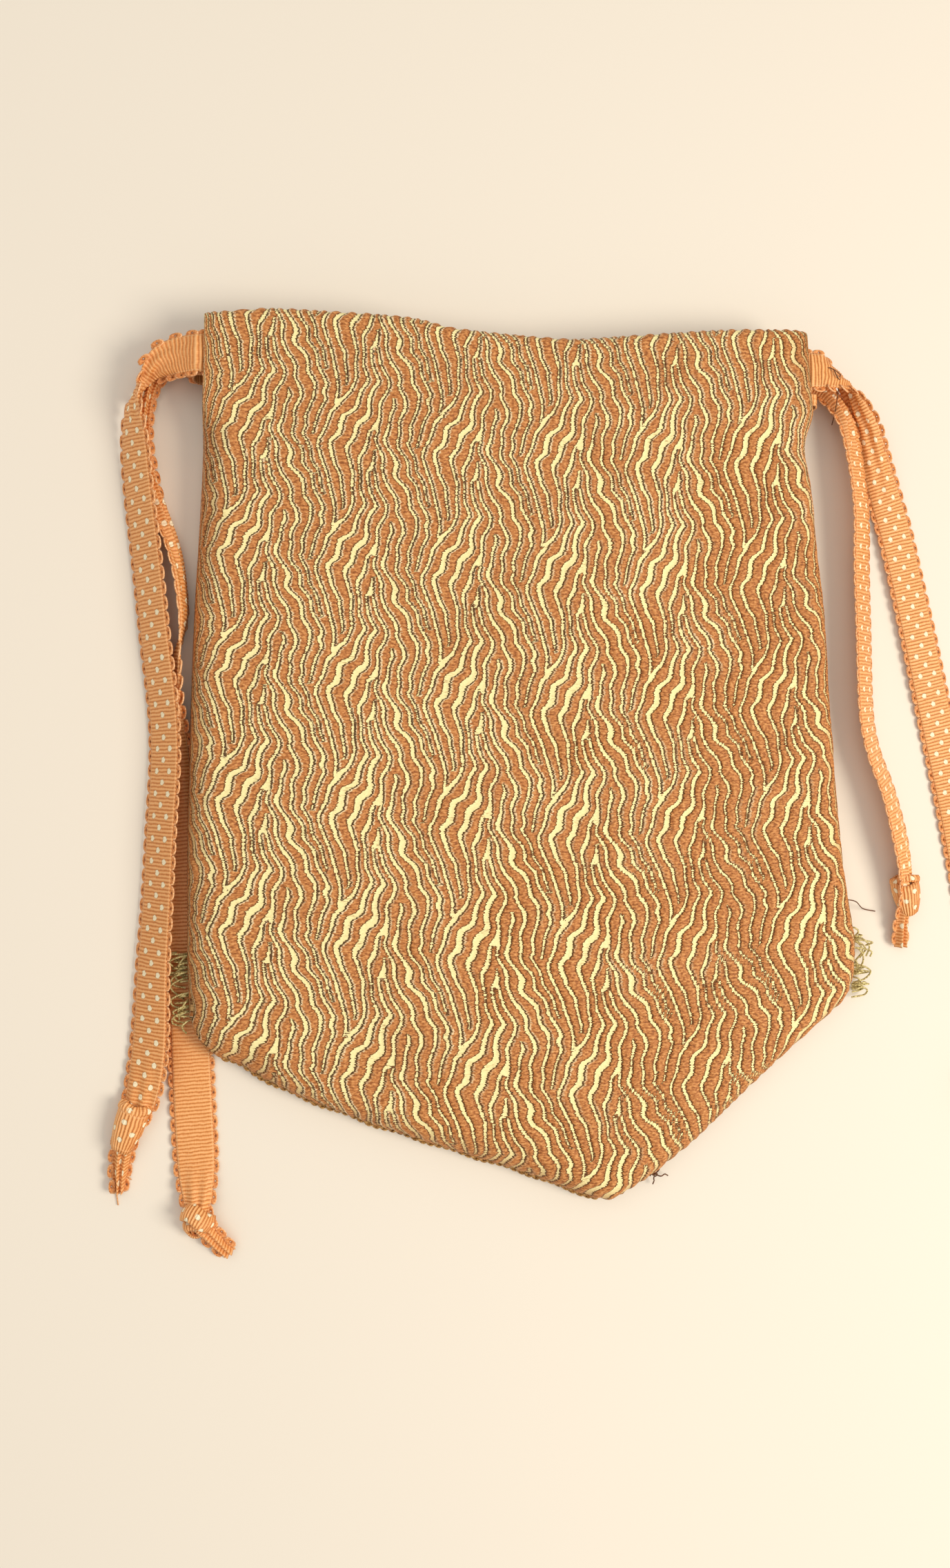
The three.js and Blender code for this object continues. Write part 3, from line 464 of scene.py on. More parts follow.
# Two vectors for each place: the turn from the strand on its left to the one on its right, as
# cosine and sine, with the gap in mm, and the nearer float's width, the ridge's rise and the gap
def stripesAt(x, y):
    x, y = x / 100, y / 100
    powers = [np.ones_like(x), x, y, x * x, x * y, y * y, x ** 3, x * x * y, x * y * y, y ** 3]
    across, down = (sum(a * p for a, p in zip(rule, powers)) % 1 for rule in (repeatAcross, repeatDown))
    left, right = np.full(across.shape, 9.0), np.full(across.shape, 9.0)  # none found yet
    leftWide, rightWide = np.zeros(across.shape), np.zeros(across.shape)
    for strand in repeat["strands"].values():
        rows = np.array(strand) / 1000
        for at in (down - 1, down, down + 1):
            there = (at >= rows[0, 0]) & (at <= rows[-1, 0])
            if not there.any():
                continue
            middle, wide = (np.interp(at, rows[:, 0], rows[:, k]) for k in (1, 2))
            for shift in (-1, 0, 1):
                far = across - middle - shift
                nearer = there & (far >= 0) & (far < left)
                left[nearer], leftWide[nearer] = far[nearer], wide[nearer]
                nearer = there & (far < 0) & (-far < right)
                right[nearer], rightWide[nearer] = -far[nearer], wide[nearer]
    gap = left + right
    phase = 2 * np.pi * left / gap
    wide = np.where(left < right, leftWide, rightWide)
    ridge = np.maximum(gap / 2 - wide / 2, 0.004)
    puff = np.clip((np.minimum(left, right) - wide / 2) / ridge, 0, 1)
    size = repeat["across"]
    slim = repeat["slimShare"] * (wide * size) ** repeat["slimPower"]
    return np.stack([np.cos(phase), np.sin(phase), gap * size], -1), np.stack([slim, puff, gap * size], -1)


# The bag, its widths and heights as shares of the whole
bag = {
    "width": 192.0, "height": 247.3, "pointDepth": 50.0, "pointPlace": 0.603, "casingDepth": 23.0,
    "casingWall": 4.9, "mouthGap": 4.8, "seamHeight": 3.2, "edgeRound": 8.0, "seamEnd": 11.0, "lift": 1.9,
    "relief": 0.42, "rows": 262, "columns": 218, "backRaised": 0.12, "lowest": 0.05,
    "softSides": 0.012, "softMouth": 0.02, "softLower": 0.004,  # how far each outline's bends are evened
    "liftEdge": (8, 12), "liftTop": (0.66, 0.78),  # where the lift ends, in mm from the side, and up
    "corner": (0.1, 0.12, 0.7),  # the rounder lower left: wide, tall, how much rounder
    "sideRipple": (0.35, 5.2, 1.7, 17, 9),  # height, pitch, sway, its pitch, how far it reaches in
    "lowerRipple": (0.3, 6.1, 8),  # height, pitch, how far it reaches in
    "uneven": ((0.22, 19, 23, 0), (0.18, 11, -31, 2)),  # height, two pitches, start
    "edgeShade": (0.85, 4.5, 1.3),  # floats are painted in shade toward the rounded edges: how much, reach, less so at the lower
    "finest": 0.004,  # the step between the rounded edge and the even grid
    "cutShare": 0.86,  # of the cloth's rectangle, the point's corners cut away
    "backShift": (11.0, -17.0),  # where the back's pattern falls, in mm from the front's
    "hem": ((0.15, 0.5), (-0.6, 1.0)),  # the cut edges, how far out and how far in
    # where the cream floats lie thinner: place and spread in mm, how much
    "veils": [(20, 112, 95, 17, 0.6), (-45, 78, 48, 34, 0.6), (74, 52, 17, 27, 0.75),
        (56, -30, 21, 62, 0.95), (36, -92, 24, 20, 0.6), (-80, 27, 15, 26, 0.5), (-82, 96, 14, 26, 0.4),
        (-45, 30, 12, 10, 0.3), (-10, -4, 10, 8, 0.25), (-88, -66, 18, 30, 0.6), (-60, -88, 30, 10, 0.5),
        (-20, -108, 30, 9, 0.45)],
    # up, left, right
    "sides": [(0, 0.985, 0.996), (0.24, 0.995, 0.996), (0.29, 1, 0.996), (0.325, 1, 0.979), (0.37, 1, 0.96),
        (0.43, 0.999, 0.94), (0.59, 0.988, 0.905), (0.69, 0.977, 0.887), (0.76, 0.967, 0.861),
        (0.81, 0.96, 0.848), (0.865, 0.955, 0.818), (0.91, 0.951, 0.808), (0.94, 0.949, 0.8),
        (1, 0.948, 0.79)],
    # across, sag
    "mouth": [(0, 0.027), (0.1, 0.0168), (0.27, 0.0158), (0.336, 0.0174), (0.383, 0.025), (0.48, 0.0275),
        (0.593, 0.0283), (0.727, 0.017), (0.874, 0.0049), (0.98, 0), (1, 0.0016)],
    # along the leg from the side, rise
    "leftLeg": [(0, 1.13), (0.014, 1.02), (0.045, 0.93), (0.115, 0.852), (0.186, 0.745), (0.262, 0.654),
        (0.431, 0.488), (0.61, 0.335), (0.79, 0.186), (0.875, 0.102), (0.965, 0.018), (1, 0)],
    "rightLeg": [(0, 1.24), (0.02, 1.15), (0.06, 1.075), (0.3, 0.78), (0.48, 0.548), (0.67, 0.3),
        (0.84, 0.117), (0.96, 0.018), (1, 0)],
    # up, how much of the casing's thickness
    "swell": [(0, 0.66), (0.15, 0.72), (0.4, 0.77), (0.7, 0.8), (0.88, 0.9), (1, 1)],
    # across, up, wide, tall, deep
    "dents": [(0.3, 0.74, 0.1, 0.14, 0.06), (0.52, 0.56, 0.13, 0.09, 0.07), (0.8, 0.34, 0.12, 0.16, 0.07),
        (0.2, 0.4, 0.1, 0.13, -0.05), (0.62, 0.8, 0.12, 0.08, -0.04), (0.45, 0.22, 0.16, 0.08, -0.05)],
}
pointY = -bag["height"] / 2
frontTop = 2 * bag["casingWall"] + bag["mouthGap"]
foldRound = bag["casingWall"] / 2


def sideX(side, y):
    which = 1 if side < 0 else 2
    up = (y - pointY) / bag["height"]
    half = softened(lambda at: column(bag["sides"], at, which), up, bag["softSides"])
    return side * half * bag["width"] / 2


def acrossAt(across, y):
    return sideX(-1, y) + across * (sideX(1, y) - sideX(-1, y))


def mouthY(across):
    sag = softened(lambda at: column(bag["mouth"], at, 1), across, bag["softMouth"])
    return -pointY - sag * bag["height"]


def lowerY(across):
    def sharp(at):
        left = column(bag["leftLeg"], at / bag["pointPlace"], 1)
        right = column(bag["rightLeg"], (1 - at) / (1 - bag["pointPlace"]), 1)
        return pointY + np.where(at < bag["pointPlace"], left, right) * bag["pointDepth"]
    return softened(sharp, across, bag["softLower"])


# Up is 0 at the lower edge, 1 at the casing's seam and 2 at the mouth
def panelPlan(across, up):
    low = lowerY(across)
    body = (mouthY(across) - bag["casingDepth"] - low) * np.minimum(up, 1)
    y = low + body + np.maximum(up - 1, 0) * bag["casingDepth"]
    return acrossAt(across, y), y


def curveOver(inset, reach):
    return np.sqrt(np.clip(1 - (1 - np.clip(inset / reach, 0, 1)) ** 2, 0, 1))


# How far the left edge is lifted by the ribbon that lies under it
def liftAt(across):
    return bag["lift"] * (1 - ease(across * bag["width"], *bag["liftEdge"]))


def panelZ(across, up, x, y, facing):
    wide = sideX(1, y) - sideX(-1, y)
    side = np.minimum(across, 1 - across) * wide
    slope = (lowerY(across + 0.005) - lowerY(across - 0.005)) / (0.01 * wide)
    lower = (y - lowerY(across)) / np.hypot(1, slope)
    cornerWide, cornerTall, rounder = bag["corner"]
    corner = np.exp(-(across / cornerWide) ** 2 - (up / cornerTall) ** 2)
    reach = bag["edgeRound"] * (1 + rounder * corner)
    isOpen = 1 - ease(mouthY(across) - bag["casingDepth"] - y, 0, bag["seamEnd"])
    sides = curveOver(side, reach)
    sides = sides + (1 - sides) * isOpen
    rounded = sides * curveOver(lower, reach)
    shelf = liftAt(across) * (1 - ease(up, *bag["liftTop"]))
    if facing < 0:
        return shelf + bag["seamHeight"] * (1 - rounded) + bag["backRaised"]
    seam = bag["seamHeight"] + shelf
    full = column(bag["swell"], up, 1) * frontTop
    for dAcross, dUp, dWide, dTall, dDeep in bag["dents"]:
        far = ((across - dAcross) / dWide) ** 2 + ((up - dUp) / dTall) ** 2
        full = full - dDeep * frontTop * np.exp(-far)
    # small ripples along the edges, and a slow unevenness all over
    high, pitch, sway, swayPitch, inward = bag["sideRipple"]
    ripple = high * np.sin(y / pitch + sway * np.sin(y / swayPitch)) * np.exp(-side / inward)
    high, pitch, inward = bag["lowerRipple"]
    ripple = ripple + high * np.sin(x / pitch) * np.exp(-lower / inward)
    full = full + ripple * (1 - isOpen)
    for high, pitchX, pitchY, start in bag["uneven"]:
        full = full + high * np.sin(x / pitchX + y / pitchY + start)
    return seam + (np.maximum(full, seam) - seam) * rounded


# Steps that get finer toward an edge, so that they follow its bend
def edgeSteps(count, length):
    return (1 - np.cos(np.linspace(0, np.pi / 2, count)))[:-1] * bag["edgeRound"] / length


# How much more cloth than plan there is, from the edge to a place
def roundTheEdge(inset):
    reach = bag["edgeRound"]
    angle = np.arccos(1 - np.clip(inset / reach, 0, 1))
    return reach * (np.pi / 2 - angle) - np.clip(reach - inset, 0, reach)


# The panel goes up to the mouth, over its edge, and down inside as the casing's other wall
def panelGrid(facing):
    edge = edgeSteps(20, bag["width"])
    middle = np.linspace(edge[-1] + bag["finest"], 1 - edge[-1] - bag["finest"], bag["columns"])
    across = np.concatenate([edge, middle, (1 - edge)[::-1]])
    low = edgeSteps(11, bag["height"] - bag["casingDepth"])
    body = np.linspace(low[-1] + bag["finest"], 1, bag["rows"])
    casing = np.linspace(1, 2 - foldRound / bag["casingDepth"], 26)[1:]
    across, up = np.meshgrid(across, np.concatenate([low, body, casing]))
    x, y = panelPlan(across, up)
    z = panelZ(across, up, x, y, facing)
    folded = []
    for turn in np.linspace(0, np.pi, 9)[1:]:
        under = z[-1] - facing * foldRound * (1 - np.cos(turn))
        folded.append(np.stack([x[-1], y[-1] + foldRound * np.sin(turn), under], -1))
    for below in np.linspace(0, 1, 8)[1:]:
        drop = below * (bag["casingDepth"] - foldRound)
        inside = z[-1] - facing * (2 * foldRound - (bag["casingWall"] - 0.9) * ease(below, 0.8, 1))
        folded.append(np.stack([x[-1], y[-1] - drop, inside], -1))
    return across, x, y, np.concatenate([np.stack([x, y, z], -1), np.array(folded)])


def panel(name, facing):
    across, x, y, grid = panelGrid(facing)
    folds = len(grid) - len(x)
    # where each point lies on the uncut cloth, measured round the edges and over the mouth
    wide = sideX(1, y) - sideX(-1, y)
    side, lower = np.minimum(across, 1 - across) * wide, y - lowerY(across)
    clothX = x + np.where(across > 0.5, 1, -1) * roundTheEdge(side)
    clothY = y - roundTheEdge(lower)
    over = np.cumsum(np.linalg.norm(np.diff(grid[len(x) - 1:], axis=0), axis=-1), axis=0)
    clothX = np.concatenate([clothX, np.repeat(clothX[-1:], folds, axis=0)])
    clothY = np.concatenate([clothY, clothY[-1:] + over])
    # the floats' cream is painted in shade toward the rounded side and lower edges
    most, inward, lowerShare = bag["edgeShade"]
    near = np.minimum(side, np.maximum(lower, 0) * lowerShare)
    edgeShade = np.concatenate([most * np.exp(-(near / inward) ** 2), np.zeros((folds, len(across[0])))])
    veil = sum(deep * np.exp(-((clothX - vx) / vw) ** 2 - ((clothY - vy) / vt) ** 2)
               for vx, vy, vw, vt, deep in bag["veils"])
    if facing < 0:
        clothX, clothY = clothX + bag["backShift"][0], clothY + bag["backShift"][1]
    stripe, strand = stripesAt(clothX, clothY)
    strand[..., 2] = edgeShade
    cloth = np.stack([clothX, clothY, np.minimum(veil, 1)], -1)

    # the ridges rise from the cloth, less so at the side edges
    height = bag["relief"] * (np.sin(strand[..., 1] * np.pi / 2) ** 0.8)
    height = height * np.minimum(1, np.minimum(across[0], 1 - across[0])[None, :] * bag["width"] / 2.0)
    outward = height if facing > 0 else height - bag["relief"]
    grid = grid + gridNormals(grid) * facing * outward[..., None]
    grid[..., 2] = np.maximum(grid[..., 2], bag["lowest"])
    hems = {}
    for end, sign in ((0, -1), (-1, 1)):  # the cloth's cut edges turn in at both sides
        hems[end] = [grid[:, end] + (sign * shift, 0, -facing * tuck) for shift, tuck in bag["hem"]]
    grid = np.concatenate([np.stack(hems[0][::-1], 1), grid, np.stack(hems[-1], 1)], axis=1)
    rows, columns = grid.shape[:2]
    attributes = {key: np.pad(value, ((0, 0), (2, 2), (0, 0)), mode="edge").reshape(-1, 3)
                  for key, value in (("stripe", stripe), ("strand", strand), ("cloth", cloth))}
    piece = newMesh(name, grid.reshape(-1, 3), gridFaces(rows, columns, flip=facing < 0), attributes)
    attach(piece, "root")
    flat = (bag["width"] * mm, (bag["height"] + bag["casingDepth"]) * mm)
    return piece, flat, flat[0] * flat[1] * bag["cutShare"]


brocade = brocadeMaterial()
for name, facing, node in (("front_cloth", 1, "front_panel"), ("back_cloth", -1, "back_panel")):
    piece, flat, area = panel(name, facing)
    piece.data.materials.append(brocade)
    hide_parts(node)
    print(name, "made,", len(piece.data.polygons) * 2, "triangles")


# The ribbons, each tail a table of stations from the casing to its end
ribbons = {
    "width": 12.7, "wall": 1.0, "thick": 0.6, "drop": 10.6, "gathered": 4.0, "turnStart": 0.8,
    "turnReach": 2.4, "clearance": 0.3, "ribRelief": 0.1, "bodyShare": 0.79, "cup": 1.5,
    "pleat": 0.9, "columns": 15, "step": 0.25, "hiddenStep": 2.5, "ribsInside": 9,
    "lowest": 0.06, "bow": 0.35, "wave": 0.2, "wavePitch": 7.3, "folds": 7.5, "foldDrift": 9,
    "twistSteps": 20,  # over how many steps the bow changes sides at a twist
    # share of the tail's length; out from the bag's side and lift, in ribbon widths; turn and lean
    # in degrees; width as a share of the ribbon's
    "left": {
        "side": -1, "layer": 0, "front": 204.0, "back": 229.0, "dots": -1,
        "frontRows": [(0, 0.4, 0.82, 0, 180, 0.95), (0.004, 0.76, 0.58, 6, 168, 0.84),
            (0.013, 1.04, 0.36, 22, 146, 0.62), (0.025, 1.22, 0.23, 50, 112, 0.5),
            (0.042, 1.34, 0.16, 78, 78, 0.66), (0.065, 1.4, 0.11, 88, 58, 0.88),
            (0.1, 1.39, 0.04, 92, 48, 1), (0.155, 1.3, 0, 93, 46, 1), (0.335, 0.84, 0, 94, 44, 1),
            (0.49, 0.52, 0, 90, 44, 1), (0.65, 0.58, 0, 87, 44, 1), (0.78, 0.7, 0, 86, 40, 1),
            (0.905, 0.86, 0, 83, 26, 1), (0.965, 1.05, 0.06, 72, 8, 0.8), (1, 1.3, 0.12, 72, 0, 0.5),
            (1.045, 1.48, 0.02, 80, 0, 0.45), (1.085, 1.53, 0, 84, 0, 0.2)],
        "backRows": [(0, 0.3, 0.08, 2, 180, 0.6), (-0.004, 0.52, 0.03, 6, 174, 0.45),
            (0.003, 0.86, 0, 28, 172, 0.38), (0.02, 1.13, 0, 56, 172, 0.36), (0.05, 1.27, 0, 80, 172, 0.36),
            (0.09, 1.29, 0, 94, 164, 0.37), (0.13, 1.14, 0, 102, 150, 0.42), (0.17, 0.9, 0, 105, 132, 0.48),
            (0.21, 0.62, 0, 104, 118, 0.6), (0.25, 0.4, 0, 99, 104, 0.78), (0.3, 0.25, 0, 92, 97, 0.92),
            (0.35, 0.29, 0, 87, 70, 0.8), (0.4, 0.41, 0, 88, 34, 0.76), (0.445, 0.37, 0, 92, 0, 0.78),
            (0.52, 0.22, 0, 96, 0, 0.95), (0.6, 0.04, 0, 92, 0, 1), (0.81, 0.01, 0, 90, 0, 1),
            (0.935, -0.06, 0, 91, 0, 1), (0.975, -0.09, 0.1, 96, 0, 0.75), (1, -0.12, 0.16, 105, 0, 0.5),
            (1.03, -0.5, 0.06, 130, 0, 0.42), (1.045, -0.75, 0, 135, 0, 0.36)],
    },
    "right": {
        "side": 1, "layer": 1, "front": 214.0, "back": 152.0, "dots": 1,
        "frontRows": [(0, 0.4, 0.82, 0, 184, 0.98), (0.004, 0.74, 0.52, 6, 212, 0.86),
            (0.01, 1.04, 0.26, 26, 244, 0.74), (0.025, 1.42, 0.08, 46, 276, 0.68),
            (0.055, 1.73, 0.01, 66, 306, 0.66), (0.09, 1.89, 0, 74, 336, 0.74),
            (0.13, 2.02, 0, 76, 354, 0.86), (0.18, 2.16, 0, 76, 362, 0.98), (0.24, 2.32, 0, 76, 366, 1),
            (0.32, 2.48, 0, 76, 364, 1), (0.41, 2.73, 0, 76, 362, 1), (0.51, 3, 0, 76, 360, 1),
            (0.65, 3.28, 0, 78, 360, 1), (0.8, 3.42, 0, 82, 360, 1), (0.93, 3.5, 0, 86, 360, 1),
            (0.97, 3.52, 0.1, 88, 360, 0.75), (1, 3.53, 0.16, 84, 360, 0.5),
            (1.04, 3.65, 0.04, 70, 360, 0.42), (1.06, 3.75, 0, 70, 360, 0.36)],
        "backRows": [(0, 0.3, 0.05, 0, 180, 0.75), (0.003, 0.52, 0, 14, 188, 0.55),
            (0.015, 0.76, 0.03, 38, 196, 0.5), (0.042, 1, 0.1, 62, 206, 0.52),
            (0.08, 1.17, 0.15, 78, 214, 0.7), (0.16, 1.26, 0.14, 88, 219, 0.92),
            (0.25, 1.2, 0.1, 92, 221, 0.98), (0.35, 1.12, 0.02, 92, 221, 1), (0.44, 1.02, 0, 91, 222, 1),
            (0.65, 0.92, 0, 88, 223, 1), (0.72, 1.04, 0, 74, 224, 1), (0.79, 1.3, 0, 70, 224, 1),
            (0.86, 1.46, 0, 78, 222, 1), (0.94, 1.54, 0.02, 84, 218, 0.8), (1, 1.46, 0.08, 90, 212, 0.5),
            (1.05, 1.34, 0.04, 90, 195, 0.42), (1.1, 1.3, 0, 86, 188, 0.36)],
    },
}


# A rounded line through given points, evenly parted between them
def smoothLine(points, per):
    points = np.asarray(points, float)
    ends = np.concatenate([[2 * points[0] - points[1]], points, [2 * points[-1] - points[-2]]])
    made = []
    w = np.linspace(0, 1, per, endpoint=False)[:, None]
    for i in range(len(points) - 1):
        p = ends[i:i + 4]
        d = np.maximum(np.linalg.norm(np.diff(p, axis=0), axis=1) ** 0.5, 1e-4)
        first = ((p[1] - p[0]) / d[0] - (p[2] - p[0]) / (d[0] + d[1]) + (p[2] - p[1]) / d[1]) * d[1]
        last = ((p[2] - p[1]) / d[1] - (p[3] - p[1]) / (d[1] + d[2]) + (p[3] - p[2]) / d[2]) * d[1]
        square, cube = -3 * p[1] + 3 * p[2] - 2 * first - last, 2 * p[1] - 2 * p[2] + first + last
        made.append(p[1] + first * w + square * w ** 2 + cube * w ** 3)
    return np.concatenate(made + [points[-1:]])


def casingZ(facing, layer):
    depth = 1 + ribbons["clearance"] + ribbons["wall"] / 2 + layer * (ribbons["wall"] + ribbons["clearance"])
    return frontTop - depth if facing > 0 else depth


def casingPlace(across, below):
    y = mouthY(across) - below
    return acrossAt(across, y), y


def tailLine(rows, side, length, facing, layer, per=12):
    slot = casingPlace(np.array(0.0 if side < 0 else 1.0), ribbons["drop"])[1]
    inCasing = (casingZ(facing, layer) - ribbons["wall"] / 2) / ribbons["width"]
    rows = np.array([(rows[0][0], 0.15, inCasing) + tuple(rows[0][3:])] + rows)
    y = slot - rows[:, 0] * length
    x = sideX(side, y) + side * rows[:, 1] * ribbons["width"]
    place = smoothLine(np.stack([x, y, rows[:, 2] * ribbons["width"]], -1), per)
    index = np.linspace(0, len(rows) - 1, (len(rows) - 1) * per + 1)
    evened = []
    for k in (3, 4, 5):
        values = np.pad(np.interp(index, np.arange(len(rows)), rows[:, k]), per // 2, mode="edge")
        evened.append(np.convolve(values, np.ones(per) / per, "same")[per // 2:-(per // 2)])
    turn, lean, wide = np.radians(evened[0]), np.radians(evened[1]), evened[2]
    across = np.stack([-side * np.sin(turn) * np.cos(lean), -np.cos(turn) * np.cos(lean), np.sin(lean)], -1)
    # half the height the ribbon takes up, so that its lower edge rests on the floor
    rest = (np.abs(across[:, 2]) * wide * ribbons["width"] + np.abs(np.cos(lean)) * ribbons["wall"]) / 2
    place[:, 2] = np.maximum(place[:, 2], 0) + rest
    return place, across, wide


# Through the front casing, round at the far side, and back through the back casing
def hiddenLine(side, layer, turnWide, shift):
    shares = np.linspace(0, 1, 60)
    near = ease(shares, 0.72, 0.97)
    wide = 1 + (turnWide - 1) * near
    x, y = casingPlace(shares if side < 0 else 1 - shares, ribbons["drop"] + shift * near)
    high, low = casingZ(1, layer), casingZ(-1, layer)
    reach = min(ribbons["turnReach"], (high - low) / 2)
    bends = np.radians(np.linspace(0, 90, 8))
    out = x[-1] - side * (ribbons["turnStart"] + reach * np.sin(bends))
    drop = reach * (1 - np.cos(bends))
    front, back = (np.stack([x, y, np.full_like(x, z)], -1) for z in (high, low))
    outY = np.full_like(out, y[-1])
    downward, returning = (np.stack([out, outY, z], -1) for z in (high - drop, low + drop))
    place = np.concatenate([front, downward, returning[::-1], back[::-1]])
    wides = np.concatenate([wide, np.full(2 * len(bends), turnWide), wide[::-1]])
    return place, np.tile([0.0, 1.0, 0.0], (len(place), 1)), wides


def ribbonStations(settings, turnWide, shift):
    side, layer = settings["side"], settings["layer"]
    front = tailLine(settings["frontRows"], side, settings["front"], 1, layer)
    back = tailLine(settings["backRows"], side, settings["back"], -1, layer)
    hidden = hiddenLine(side, layer, turnWide, shift)
    place, across, wide = (np.concatenate([front[k][::-1], hidden[k], back[k]]) for k in range(3))
    along = lengthAlong(place)
    keep = np.concatenate([[True], np.diff(along) > 1e-6])
    inside = np.zeros(len(along), bool)
    inside[len(front[0]):len(front[0]) + len(hidden[0])] = True
    place, across, wide, inside, along = place[keep], across[keep], wide[keep], inside[keep], along[keep]
    first, last = along[inside][0] + ribbons["ribsInside"], along[inside][-1] - ribbons["ribsInside"]
    at = np.concatenate([np.arange(0, first, ribbons["step"]), np.arange(first, last, ribbons["hiddenStep"]),
                         np.arange(last, along[-1], ribbons["step"])])
    place, across = (np.stack([np.interp(at, along, values[:, k]) for k in range(3)], -1)
                     for values in (place, across))
    across, wide = unit(across), np.interp(at, along, wide)
    tails = (at < first) | (at > last)
    run = unit(np.gradient(place, at, axis=0))
    across = unit(across - run * np.sum(across * run, -1, keepdims=True))
    return at, place, across, np.cross(run, across), wide, tails


def buildRibbon(settings, turnWide, shift):
    at, place, across, face, wide, tails = ribbonStations(settings, turnWide, shift)
    share = ribbons["bodyShare"]
    half = ribbons["width"] / 2 * share
    t = np.linspace(-1, 1, ribbons["columns"])
    twist = ribbons["twistSteps"]
    facesUp = np.pad(np.where(face[:, 2] >= 0, 1.0, -1.0), twist, mode="edge")
    upward = np.convolve(facesUp, np.ones(2 * twist + 1) / (2 * twist + 1), "valid")
    # a narrowed run bows up in its middle and folds in pleats; the tails have ribs as well
    gather = np.sqrt(np.clip(1 - wide ** 2, 0, 1)) * np.where(tails, 1, 0.3)
    wave = ribbons["wave"] * np.sin(at / ribbons["wavePitch"]) * tails
    crown = upward * (ribbons["bow"] + ribbons["cup"] * gather + wave)
    pleat = ribbons["pleat"] * gather ** 2
    rib = ribbons["ribRelief"] * np.cos(2 * np.pi * at / ribbonLook["ribPitch"] + np.pi) * tails

    def rise(spot):
        folds = np.sin(spot * ribbons["folds"] + at[:, None] / ribbons["foldDrift"]) * pleat[:, None]
        return (1 - (spot * share) ** 2) * crown[:, None] + folds

    # an upper and a lower sheet, joined all round by a rim
    sheets, weaves = [], []
    spread = across[:, None] * (t[None, :, None] * (half * wide)[:, None, None])
    for sign in (1, -1):
        bulge = rise(t[None, :]) + sign * (ribbons["thick"] / 2 + rib)[:, None]
        section = place[:, None] + spread + face[:, None] * bulge[..., None]
        section[..., 2] = np.maximum(section[..., 2], ribbons["lowest"])
        sheets.append(section.reshape(-1, 3))
        flat = np.broadcast_arrays(t * half, at[:, None], np.full(bulge.shape, settings["dots"] * sign))
        weaves.append(np.stack(flat, -1).reshape(-1, 3))
    rows, columns = len(at), len(t)
    count = rows * columns
    faces = gridFaces(rows, columns, flip=True) + gridFaces(rows, columns, start=count)
    rim = [r * columns for r in range(rows)] + [(rows - 1) * columns + c for c in range(1, columns)]
    rim += [r * columns + columns - 1 for r in range(rows - 2, -1, -1)] + list(range(columns - 2, 0, -1))
    faces += [[p, p + count, q + count, q] for p, q in zip(rim, rim[1:] + rim[:1])]
    lobes = []  # place, the way out from the edge, and the way up, of each loop of the looped edge
    for edge in (-1.0, 1.0):
        lift, inner = rise(np.array([[edge]]))[:, 0], rise(np.array([[edge * 0.9]]))[:, 0]
        line = place + across * (edge * half * wide)[:, None] + face * lift[:, None]
        lean = across * (edge * 0.1 * half * wide)[:, None] + face * (lift - inner)[:, None]
        for k in np.searchsorted(at, np.arange(2.0, at[-1], lobe["pitch"])):
            if tails[k] and line[k, 2] > 0.2:
                lobes.append((line[k], unit(lean[k]), face[k] * settings["dots"]))
    return np.concatenate(sheets), faces, np.concatenate(weaves), lobes, at[-1]


lobe = {"pitch": 4.0, "reach": 1.3, "halfWide": 2.05, "thick": 0.26, "rim": 0.1, "eyelet": 0.2,
        "eyeletPlace": 0.5, "around": 11, "rimShare": 0.84, "blunt": 0.6, "back": 0.5,
        # the eyelet's colour is painted shade and the cord's a painted highlight
        "hole": "#b87038", "cloth": "#efa461", "cord": "#ffcb98"}


# The ribbon's looped edge: yarn turned back in flat lobes, a painted highlight along the outer cord
# where it catches the light, painted shade round the small eyelet
def lobeMaterial():
    material, tree, shader = newMaterial("looped ribbon edge yarn")
    rim = addNode(tree, "ShaderNodeAttribute", attribute_name="rim").outputs["Vector"]
    share = addNode(tree, "ShaderNodeSeparateXYZ", (rim,)).outputs[0]
    rings = ((0.0, lobe["hole"]), (0.3, lobe["cloth"]), (0.7, lobe["cloth"]), (0.86, lobe["cord"]))
    colour = addNode(tree, "ShaderNodeValToRGB", (share,), stops=rings)
    place = addNode(tree, "ShaderNodeTexCoord").outputs["Object"]
    yarn = addNode(tree, "ShaderNodeTexNoise", {"Vector": place, "Scale": 1 / (0.5 * mm), "Detail": 2.0})
    shade = addNode(tree, "ShaderNodeValToRGB", (yarn,), stops=((0.35, "#d8b592"), (0.6, "#ffffff")))
    mixed = addNode(tree, "ShaderNodeMix", {0: 1.0, 6: colour, 7: shade}, data_type="RGBA",
                    blend_type="MULTIPLY")
    bump = addNode(tree, "ShaderNodeBump", {"Height": yarn, "Strength": 0.5, "Distance": 0.2 * mm})
    plug(tree, shader, {"Base Color": mixed.outputs[2], "Normal": bump, "Roughness": 0.5})
    return material


